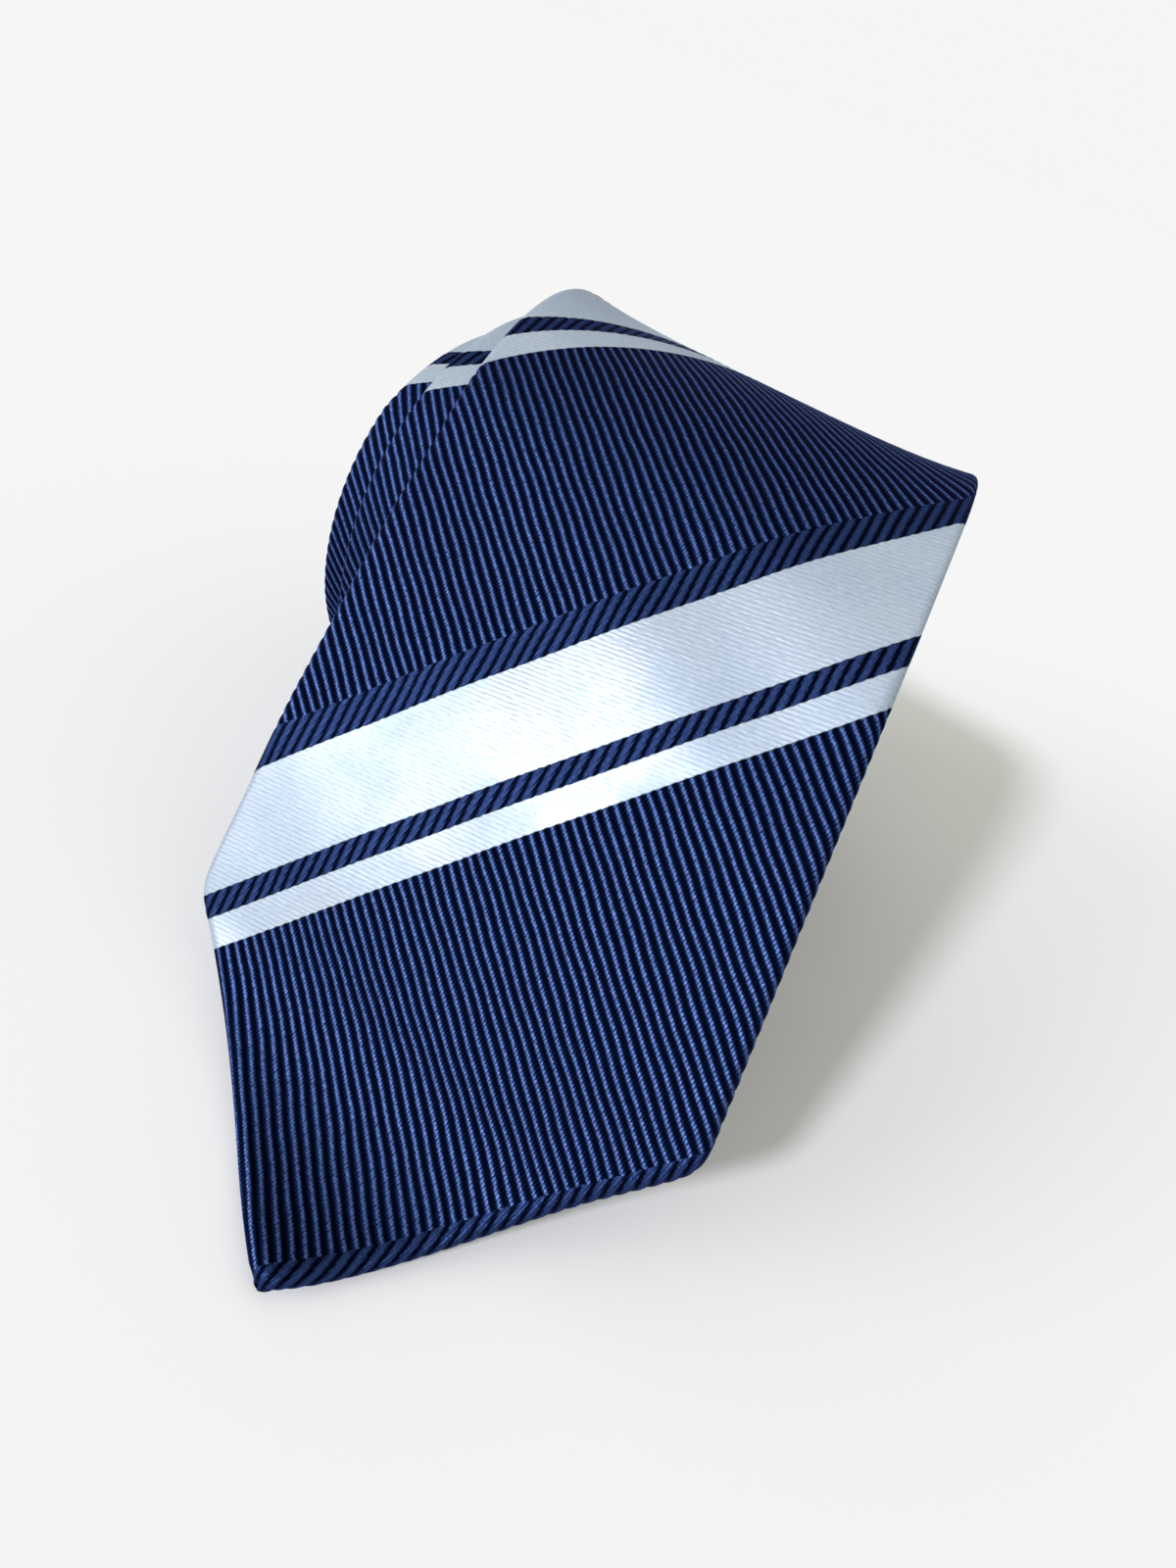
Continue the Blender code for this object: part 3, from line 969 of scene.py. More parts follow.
    def build(self, name: str) -> bpy.types.Object:
        """Makes the piece.

        Args:
            name: The piece's name.

        Returns:
            The new object.
        """
        places, marks = self._boundary()
        rows, low, high, low_edge, high_edge = self._rows(places, marks)
        columns, index = self._grid(places, rows, low, high)
        x, s = self.weave.flat(np.broadcast_to(rows[:, None], columns.shape).ravel(), columns.ravel())
        used = np.unique(index)
        edge = self._nearest_edge(x[used], s[used], places, marks)
        points, flat = np.zeros((len(x), 3)), np.zeros((len(x), 2))
        points[used], flat[used] = self._surface(x[used], s[used], edge, back=False)

        rim = np.concatenate([index[:, 0], index[::-1, -1]])
        on_edge = np.concatenate([low_edge, high_edge[::-1]])
        back_points, back_flat, back_index = self._flaps(rim, x[rim], s[rim], places, marks, len(points))
        pairs = np.nonzero(on_edge & np.roll(on_edge, -1))[0]
        first, second = back_index[pairs], back_index[(pairs + 1) % len(rim)]
        a, b = first[:, :-1].ravel(), first[:, 1:].ravel()
        c, d = second[:, 1:].ravel(), second[:, :-1].ravel()
        faces = np.concatenate([grid_faces(index), np.stack([a, b, c], 1), np.stack([a, c, d], 1)])
        points = np.concatenate([points, back_points])
        return make_mesh(name, points, faces, np.concatenate([flat, back_flat]))

    def _flaps(
        self, rim: Array, x: Array, s: Array, places: Array, marks: Array, offset: int
    ) -> tuple[Array, Array, Array]:
        """The back flaps, whose rows run inward from the rim's own points to a turned-under lip.

        Args:
            rim: Corner numbers of the rim.
            x: Their flat places across.
            s: Their flat places along.
            places: The closed outline.
            marks: Which of its places are on an edge.
            offset: The first free corner number.

        Returns:
            (points, pattern places, corner numbers), one row of numbers for each rim point.
        """
        side = np.where(x < 0, -1.0, 1.0)
        width = np.abs(x)
        gap = np.minimum(self.lay.half_gap(s), 0.6 * width)
        radius = self.lay.tie.blade_depth / 2
        turned = radius * (1 - np.cos(self.EDGE_ANGLES[1:]))
        pointed = s < self.lay.tie.blade_shoulder
        pointed |= s > self.lay.face_length - self.lay.tie.tail_shoulder
        steep = np.where(pointed, self.POINT_ROW, self.SIDE_ROW)
        # where a flap is narrow, the turned part is drawn together to leave room for the rest
        fit = np.minimum(1.0, (width - gap) / (1.3 * turned[-1] * steep))
        close = turned * (steep * fit)[:, None]
        share = np.linspace(0.0, 1.0, self.grain.back_columns + 1)[1:]
        onward = close[:, -1:] + (width - gap - close[:, -1])[:, None] * share
        inward = np.concatenate([close, onward], 1)
        shape = inward.shape
        flat_x = (side[:, None] * (width[:, None] - inward)).ravel()
        flat_s = np.broadcast_to(s[:, None], shape).ravel()
        distance, out_x, out_s = self._nearest_edge(flat_x, flat_s, places, marks)
        far = distance >= self.EDGE_REACH - self.NEAR
        distance = np.where(far, inward.ravel(), distance)
        out_x = np.where(far, np.sign(flat_x), out_x)
        out_s = np.where(far, 0.0, out_s)
        points, flat = self._surface(flat_x, flat_s, (distance, out_x, out_s), back=True)
        points, flat = points.reshape(*shape, 3), flat.reshape(*shape, 2)

        cloth = self.lay.tie.cloth
        lip = np.minimum(self.LIP, 0.5 * (width - gap))
        lip_points = []
        for across, rise in ((gap - self.LIP_ROUND, 0.5), (gap, 0.95), (gap + lip, 1.0)):
            u, v = self.lay.on_roll(side * across, s)
            lip_points.append(self.lay.place(u, v, rise * cloth - self.lay.depth(v)))
        points = np.concatenate([points, np.stack(lip_points, 1)], 1)
        flat = np.concatenate([flat, flat[:, -1:].repeat(len(lip_points), 1)], 1)
        numbers = offset + np.arange(points.shape[0] * points.shape[1]).reshape(points.shape[:2])
        return points.reshape(-1, 3), flat.reshape(-1, 2), np.concatenate([rim[:, None], numbers], 1)

    def flat_size(self) -> tuple[float, float, float]:
        """The size of the length laid out flat.

        Returns:
            (width, length, area), the width being the face, the folds and both flaps with their lips.
        """
        lay = self.lay
        side = self._side(-1)[:, 1], self._side(1)[:, 1]
        s = np.linspace((side[0][0] + side[1][0]) / 2, (side[0][-1] + side[1][-1]) / 2, 2000)
        width = lay.half_width(s)
        fold = math.pi * lay.tie.roll_depth / 2 - lay.tie.roll_depth
        across = 2 * width + 2 * np.clip(width - lay.half_gap(s), 0, None) + 2 * fold + 2 * self.LIP
        area = float(np.sum((across[1:] + across[:-1]) / 2 * np.diff(s)))
        return float(across.max()), float(s[-1] - s[0]), area


class Band:
    """A flat band between two edges that are functions of v, closed all round, with rounded long edges."""

    def __init__(self, lay: Lay, columns: int, step: float) -> None:
        """Sets how fine bands are.

        Args:
            lay: The tie on the roll.
            columns: Faces across.
            step: Distance between sections along v.
        """
        self.lay = lay
        self.columns = columns
        self.step = step

    def build(
        self,
        name: str,
        start: float,
        end: float,
        edges: Edges,
        top: Callable[[Array], Array],
        thickness: float,
    ) -> bpy.types.Object:
        """Makes one band.

        The section is a stadium: two level sides joined by half circles of half the thickness.

        Args:
            name: The piece's name.
            start: v of its lower end.
            end: v of its upper end.
            edges: (left u, right u) for any v.
            top: Height n of its upper side for any v.
            thickness: Its thickness.

        Returns:
            The new object.
        """
        v = np.linspace(start, end, max(3, math.ceil((end - start) / self.step) + 1))
        left, right = edges(v)
        radius = thickness / 2
        share = np.linspace(0.0, 1.0, self.columns + 1)
        turn = np.radians([60.0, 20.0, -20.0, -60.0])
        inner_left, inner_right = left + radius, right - radius
        across = inner_left[:, None] + (inner_right - inner_left)[:, None] * share
        level = np.broadcast_to(top(v)[:, None], across.shape)
        right_u = inner_right[:, None] + radius * np.cos(turn)
        left_u = inner_left[:, None] - radius * np.cos(turn)
        rim_n = (top(v) - radius)[:, None] + radius * np.sin(turn)
        u = np.concatenate([across, right_u, across[:, ::-1], left_u[:, ::-1]], 1)
        n = np.concatenate([level, rim_n, level - thickness, rim_n[:, ::-1]], 1)
        where = np.broadcast_to(v[:, None], u.shape)
        points = self.lay.place(u, where, n).reshape(-1, 3)
        flat = np.stack([u - self.lay.seam(where), where], -1).reshape(-1, 2) / CM
        index = np.arange(u.size).reshape(u.shape)
        faces = [grid_faces(np.concatenate([index, index[:, :1]], 1))]
        half = u.shape[1] // 2
        for row in (0, -1):
            ring = np.roll(index[row], len(turn) // 2)
            faces.append(grid_faces(np.stack([ring[:half], ring[half:][::-1]])))
        obj = make_mesh(name, points, np.concatenate(faces), flat)
        face_outward(obj)
        return obj


def tube(name: str, lay: Lay, path: Array, radius: float, sides: int = 6) -> bpy.types.Object:
    """A thread along a path given in (u, v, n).

    The ring at each place is p + r (cos t * side + sin t * up), side being the path's direction turned to
    lie flat on the cloth and up its other normal.

    Args:
        name: The piece's name.
        lay: The tie on the roll.
        path: Places (u, v, n), one row each.
        radius: The thread's radius.
        sides: Faces round the thread.

    Returns:
        The new object, closed at both ends.
    """
    ahead = np.gradient(path, axis=0)
    ahead /= np.maximum(np.linalg.norm(ahead, axis=1), 1e-12)[:, None]
    side = np.cross(ahead, np.array([0.0, 0.0, 1.0]))
    side /= np.maximum(np.linalg.norm(side, axis=1), 1e-9)[:, None]
    up = np.cross(side, ahead)
    turn = np.linspace(0.0, 2 * math.pi, sides, endpoint=False)
    thickness = np.full(len(path), radius)
    thickness[[0, -1]] *= 0.05
    ring = side[:, None] * np.cos(turn)[:, None] + up[:, None] * np.sin(turn)[:, None]
    places = path[:, None] + thickness[:, None, None] * ring
    points = lay.place(places[..., 0], places[..., 1], places[..., 2]).reshape(-1, 3)
    run = np.concatenate([[0.0], np.cumsum(np.linalg.norm(np.diff(path, axis=0), axis=1))])
    round_place, along = np.broadcast_arrays(turn * radius, run[:, None])
    flat = np.stack([round_place, along], -1).reshape(-1, 2) / CM
    index = np.arange(len(path) * sides).reshape(len(path), sides)
    index = np.concatenate([index, index[:, :1]], 1)
    faces = [grid_faces(index)]
    for ring_index in (index[0, :sides], index[-1, :sides]):
        faces.append(np.stack([np.full(sides - 2, ring_index[0]), ring_index[1:-1], ring_index[2:]], 1))
    obj = make_mesh(name, points, np.concatenate(faces), flat)
    face_outward(obj)
    return obj


# ---------------------------------------------------------------- shader maths


def operator(operation: str, turned: bool = False) -> Callable[..., "Value"]:
    """A method for Value that adds one Math node.

    Args:
        operation: The node's operation.
        turned: Whether the other operand comes first.

    Returns:
        The method.
    """

    def method(value: "Value", *others: "Value | float") -> "Value":
        """Adds the node."""
        operands = (*others, value) if turned else (value, *others)
        return value.tree.maths(operation, *operands)

    return method


class Value:
    """A shader socket that Python's operators work on; a remainder is always positive."""

    def __init__(self, tree: "Tree", socket: bpy.types.NodeSocket) -> None:
        """Wraps a socket of a tree."""
        self.tree = tree
        self.socket = socket

    __add__ = __radd__ = operator("ADD")
    __mul__ = __rmul__ = operator("MULTIPLY")
    __sub__ = operator("SUBTRACT")
    __rsub__ = operator("SUBTRACT", turned=True)
    __truediv__ = operator("DIVIDE")
    __pow__ = operator("POWER")
    __mod__ = operator("FLOORED_MODULO")
    __abs__ = operator("ABSOLUTE")
    sine = operator("SINE")
    cosine = operator("COSINE")

    def wave(self, period: float) -> "Value":
        """A sine of this value between 0 and 1."""
        return (self * (2 * math.pi / period)).sine() * 0.5 + 0.5

    def ridge(self, pitch: float) -> "Value":
        """1 on the middle of each ridge and 0 between two, as |cos|."""
        return abs((self * (math.pi / pitch)).cosine())

    def above(self, edge: float, softness: float = 0.004) -> "Value":
        """0 below an edge and 1 above it, with a short ramp between."""
        ramp = (self - (edge - softness / 2)) / softness
        return ramp.clipped()

    def clipped(self) -> "Value":
        """Limited to 0..1."""
        limited = self * 1.0
        limited.socket.node.use_clamp = True
        return limited


class Tree:
    """A material's node tree, with one method that adds any node."""

    def __init__(self, name: str) -> None:
        """Makes a material with a Principled shader.

        Args:
            name: The material's name.
        """
        self.material = bpy.data.materials.new(name)
        self.material.use_nodes = True
        self.nodes = self.material.node_tree.nodes
        self.links = self.material.node_tree.links
        self.shader = self.nodes["Principled BSDF"]

    def node(self, kind: str, settings: dict | None = None, **inputs: object) -> bpy.types.Node:
        """Adds one node.

        Args:
            kind: The node's type.
            settings: Its settings, set before its sockets; a ramp's stops are (place, colour) pairs.
            inputs: Values or links of its sockets, by name with _ for a space, or by number as in_0.

        Returns:
            The new node.
        """
        made = self.nodes.new(kind)
        for key, value in (settings or {}).items():
            if key == "stops":
                ramp = made.color_ramp
                while len(ramp.elements) < len(value):
                    ramp.elements.new(1.0)
                for element, (place, colour) in zip(ramp.elements, value):
                    element.position = place
                    element.color = (*colour, 1.0)
            else:
                setattr(made, key, value)
        for key, value in inputs.items():
            name = int(key[3:]) if key.startswith("in_") else key.replace("_", " ")
            self.set(made.inputs[name], value)
        return made

    def set(self, socket: bpy.types.NodeSocket, value: object) -> None:
        """Links a socket to a value's socket, or gives it a number or colour.

        Args:
            socket: The socket to set.
            value: Another socket, a Value, a number or a colour.
        """
        if isinstance(value, Value):
            self.links.new(value.socket, socket)
        elif isinstance(value, bpy.types.NodeSocket):
            self.links.new(value, socket)
        elif isinstance(value, tuple) and len(value) == 3 and socket.type == "RGBA":
            socket.default_value = (*value, 1.0)
        else:
            socket.default_value = value

    def maths(self, operation: str, *values: "Value | float") -> Value:
        """One Math node."""
        inputs = {f"in_{number}": value for number, value in enumerate(values)}
        return Value(self, self.node("ShaderNodeMath", {"operation": operation}, **inputs).outputs[0])

    def mix(self, share: Value | float, low: object, high: object) -> bpy.types.NodeSocket:
        """A colour between two, by a share from 0 to 1."""
        made = self.node("ShaderNodeMix", {"data_type": "RGBA"}, in_0=share, in_6=low, in_7=high)
        return made.outputs[2]

    def noise(self, coordinates: object, scale: float, detail: float = 2.0, rough: float = 0.5) -> Value:
        """Soft noise about 0.5."""
        made = self.node(
            "ShaderNodeTexNoise", None, Vector=coordinates, Scale=scale, Detail=detail, Roughness=rough
        )
        return Value(self, made.outputs["Fac"])

    def cloth_place(self) -> tuple[bpy.types.NodeSocket, Value, Value]:
        """The flat place from the UV map.

        Returns:
            (vector, x, s) in centimetres.
        """
        place = self.node("ShaderNodeUVMap", {"uv_map": UV_NAME}).outputs["UV"]
        parts = self.node("ShaderNodeSeparateXYZ", None, Vector=place)
        return place, Value(self, parts.outputs["X"]), Value(self, parts.outputs["Y"])

    def bump(self, height: Value, distance: float, strength: float = 1.0) -> bpy.types.NodeSocket:
        """A normal from a height of 0..1 that stands for a distance in metres."""
        made = self.node("ShaderNodeBump", None, Height=height, Distance=distance, Strength=strength)
        return made.outputs["Normal"]

    def finish(self, **sockets: object) -> bpy.types.Material:
        """Sets the shader's sockets by name, with _ for a space, and hands over the material.

        Args:
            sockets: Values of the shader's sockets.

        Returns:
            The finished material.
        """
        for key, value in sockets.items():
            self.set(self.shader.inputs[key.replace("_", " ")], value)
        return self.material


@dataclass(frozen=True)
class RepSilk:
    """The striped outer cloth: navy rep ground, navy twill bands and pale satin stripes."""

    weave: Weave
    # Painted light and shade on the ribs: the crest tone is a painted highlight on the rib tops, the flank
    # and valley tones painted shade on their sides and in the gaps between them.
    crest: Colour = (0.080, 0.135, 0.350)
    shaded_flank: Colour = (0.0034, 0.0115, 0.0520)
    valley: Colour = (0.0003, 0.0012, 0.0075)
    # The twill tones: the lighter one is a painted highlight on the twill's ridges, the deeper one painted
    # shade in its grooves.
    twill: Colour = (0.025, 0.048, 0.150)
    twill_groove_shade: Colour = (0.0036, 0.0100, 0.0430)
    # The satin tones: the brighter one is the satin under painted sheen, the other its tone without it.
    satin: Colour = (0.455, 0.515, 0.575)
    satin_deep: Colour = (0.300, 0.370, 0.450)
    seam: Colour = (0.010, 0.020, 0.040)
    lint: Colour = (0.62, 0.60, 0.58)
    tint: Colour = (0.25, 0.35, 0.60)
    border_width: float = 0.018
    specular: float = 0.12
    bump_depth: float = 0.00012

    def material(self, name: str) -> bpy.types.Material:
        """Builds the material.

        Args:
            name: The material's name.

        Returns:
            The finished material.
        """
        weave = self.weave
        tree = Tree(name)
        place, x, s = tree.cloth_place()
        wander = tree.noise(place, 1.6, 2.0) - 0.5
        a = (x + s * weave.slant) / weave.norm
        c = s - x * weave.slant
        b = c / weave.norm
        tooth = abs((a / weave.rib_pitch) % 1.0 - 0.5) * 0.030 - 0.0075
        stripe = (c + tooth + wander * 0.012 - weave.dark_top) % weave.repeat

        thin = stripe.above(weave.ground_end) - stripe.above(weave.thin_end)
        wide = stripe.above(weave.dark_end) - stripe.above(weave.wide_end)
        satin = thin + wide
        ground = 1.0 - stripe.above(weave.ground_end)
        border = self._borders(tree, stripe)

        rib = a.ridge(weave.rib_pitch)
        twill = (a - b).ridge(weave.twill_pitch)
        slub = tree.noise(self._drawn(tree, a * 3.0, b * 0.4), 7.0, 2.0)
        speck = tree.noise(self._drawn(tree, a, b * 0.7), 24.0, 3.0, 0.7)
        twist = (a * 0.9 - b * 1.6).wave(0.085)
        # Painted light: lit, with glinting specks and the twist, runs the rib colour from the painted shade
        # in the gaps up to the painted highlight on the rib tops.
        lit = (rib ** 2.4) * (0.22 + 1.25 * speck + 0.24 * twist)
        ribs = tree.mix((lit * 2.2 - 0.12).clipped(), self.valley, self.shaded_flank)
        ribs = tree.mix((lit * 2.3 - 1.40).clipped(), ribs, self.crest)
        # Painted shade in the twill's grooves and painted highlight on its ridges, with glinting specks.
        lines = tree.mix((twill * 2.0 - 0.62).clipped(), self.valley, self.twill_groove_shade)
        lines = tree.mix((twill * 1.5 - 1.75 + speck * 2.0 + twist * 0.25).clipped(), lines, self.twill)
        dark = tree.mix(ground.clipped(), lines, ribs)

        rows = (s - x * 0.035).wave(0.065)
        dashes = tree.noise(self._drawn(tree, x * 0.32, s), 26.0, 1.0)
        # Painted reflection: soft cloudy patches of sheen on the satin; the same patches vary its
        # roughness.
        reflection_cloud = tree.noise(place, 0.85, 2.0, 0.4)
        floats = rows * 0.26 + dashes * 0.74
        # Painted sheen: the floats' texture, partly the weave's own and partly painted sheen, and the
        # cloudy patches brighten the satin's colour.
        painted_sheen = (floats * 1.3 - 0.25 + (reflection_cloud - 0.5) * 0.9).clipped()
        pale = tree.mix(painted_sheen, self.satin_deep, self.satin)
        colour = tree.mix(satin.clipped(), dark, pale)
        colour = tree.mix((border * 0.75).clipped(), colour, self.seam)
        lint = tree.noise(place, 17.0, 4.0, 0.8).above(0.775, 0.03)
        colour = tree.mix((lint * 0.35).clipped(), colour, self.lint)

        height = satin * floats * 0.36 + (1.0 - satin) * (twist * 0.6 + speck * 1.2)
        normal = tree.bump(height, self.bump_depth, 0.9)
        rough = 0.35 + satin * (0.58 - reflection_cloud) * 0.45 + (slub - 0.5) * 0.10
        metallic = 0.75 - satin * 0.45
        return tree.finish(
            Base_Color=colour,
            Roughness=rough.clipped(),
            Metallic=metallic.clipped(),
            Normal=normal,
            Specular_IOR_Level=self.specular,
            Specular_Tint=self.tint,
        )

    def _borders(self, tree: Tree, stripe: Value) -> Value:
        """1 in a thin line at each edge of a pale stripe.

        Args:
            tree: The tree to build in.
            stripe: Place in the pattern's repeat.

        Returns:
            The share of the dark seam.
        """
        weave = self.weave
        total: Value | float = 0.0
        for edge in (weave.ground_end, weave.thin_end, weave.dark_end, weave.wide_end):
            total = (1.0 - abs(stripe - edge) / self.border_width).clipped() + total
        return total

    @staticmethod
    def _drawn(tree: Tree, across: Value, along: Value) -> bpy.types.NodeSocket:
        """Coordinates that draw noise out in one direction."""
        return tree.node("ShaderNodeCombineXYZ", None, X=across, Y=along).outputs[0]


@dataclass(frozen=True)
class FeltedWool:
    """The interlining: an open brushed wool weave."""

    light: Colour = (0.78, 0.74, 0.66)
    deep: Colour = (0.50, 0.46, 0.39)

    def material(self, name: str) -> bpy.types.Material:
        """Builds the material.

        Args:
            name: The material's name.

        Returns:
            The finished material.
        """
        tree = Tree(name)
        place, x, s = tree.cloth_place()
        warp, weft = x.wave(0.10), s.wave(0.10)
        hairs = tree.noise(place, 30.0, 4.0, 0.7)
        height = warp * weft * 0.6 + hairs * 0.5
        # The colour darkens with the weave's height: painted shade in its hollows, with the hairs' random
        # tone.
        colour = tree.mix((height * 1.1).clipped(), self.deep, self.light)
        normal = tree.bump(height, 0.00025)
        return tree.finish(Base_Color=colour, Roughness=0.9 + hairs * 0.08, Normal=normal)


@dataclass(frozen=True)
class LiningSatin:
    """The tipping: a plain, smooth lining with a fine diagonal."""

    light: Colour = (0.020, 0.038, 0.120)
    deep: Colour = (0.008, 0.016, 0.060)

    def material(self, name: str) -> bpy.types.Material:
        """Builds the material.

        Args:
            name: The material's name.

        Returns:
            The finished material.
        """
        tree = Tree(name)
        place, x, s = tree.cloth_place()
        diagonal = (x + s).wave(0.045)
        mottle = tree.noise(place, 3.0, 3.0)
        # Partly painted shade in the grooves of the diagonal, partly a random mottle of tone.
        colour = tree.mix((diagonal * 0.5 + mottle * 0.6 - 0.05).clipped(), self.deep, self.light)
        normal = tree.bump(diagonal, 0.00004)
        return tree.finish(Base_Color=colour, Roughness=0.34 + mottle * 0.12, Normal=normal)


@dataclass(frozen=True)
class SewingThread:
    """Two-ply sewing thread."""

    light: Colour = (0.030, 0.050, 0.140)
    deep: Colour = (0.006, 0.010, 0.035)

    def material(self, name: str) -> bpy.types.Material:
        """Builds the material.

        Args:
            name: The material's name.

        Returns:
            The finished material.
        """
        tree = Tree(name)
        place, x, s = tree.cloth_place()
        ply = (s + x * 3.0).wave(0.05)
        hairs = tree.noise(place, 40.0, 2.0)
        # The colour darkens in the groove between the plies: painted shade, with the hairs' random tone.
        colour = tree.mix((ply * 0.8 + hairs * 0.3).clipped(), self.deep, self.light)
        normal = tree.bump(ply, 0.00008)
        return tree.finish(Base_Color=colour, Roughness=0.55 + hairs * 0.2, Normal=normal)


@dataclass(frozen=True)
class LabelWeave:
    """A plain woven patch with a border line near both ends and no lettering, half_width in centimetres."""

    half_width: float
    light: Colour = (0.030, 0.050, 0.150)
    deep: Colour = (0.012, 0.022, 0.075)
    border: Colour = (0.42, 0.50, 0.62)

    def material(self, name: str) -> bpy.types.Material:
        """Builds the material.

        Args:
            name: The material's name.

        Returns:
            The finished material.
        """
        tree = Tree(name)
        place, x, s = tree.cloth_place()
        warp, weft = x.wave(0.04), s.wave(0.06)
        hairs = tree.noise(place, 30.0, 2.0)
        # The colour darkens where the weave's threads dip: painted shade, with the hairs' random tone.
        base = tree.mix((weft * 0.6 + warp * 0.2 + hairs * 0.3).clipped(), self.deep, self.light)
        side = abs(x)
        rim = side.above(self.half_width - 0.22, 0.02) - side.above(self.half_width - 0.12, 0.02)
        colour = tree.mix(rim.clipped(), base, self.border)
        normal = tree.bump(warp * weft, 0.00006)
        return tree.finish(Base_Color=colour, Roughness=0.5 + hairs * 0.15, Normal=normal)


@dataclass(frozen=True)
class StudioFloor:
    """A matt pale floor with a faint grain."""

    tone: Colour = (0.855, 0.855, 0.855)

    def material(self, name: str) -> bpy.types.Material:
        """Builds the material.

        Args:
            name: The material's name.

        Returns:
            The finished material.
        """
        tree = Tree(name)
        place = tree.node("ShaderNodeTexCoord").outputs["Object"]
        grain = tree.noise(place, 900.0, 2.0)
        colour = tree.mix(grain, self.tone, tuple(value * 1.006 for value in self.tone))
        return tree.finish(Base_Color=colour, Roughness=0.95, Specular_IOR_Level=0.1)


# ---------------------------------------------------------------- the tie


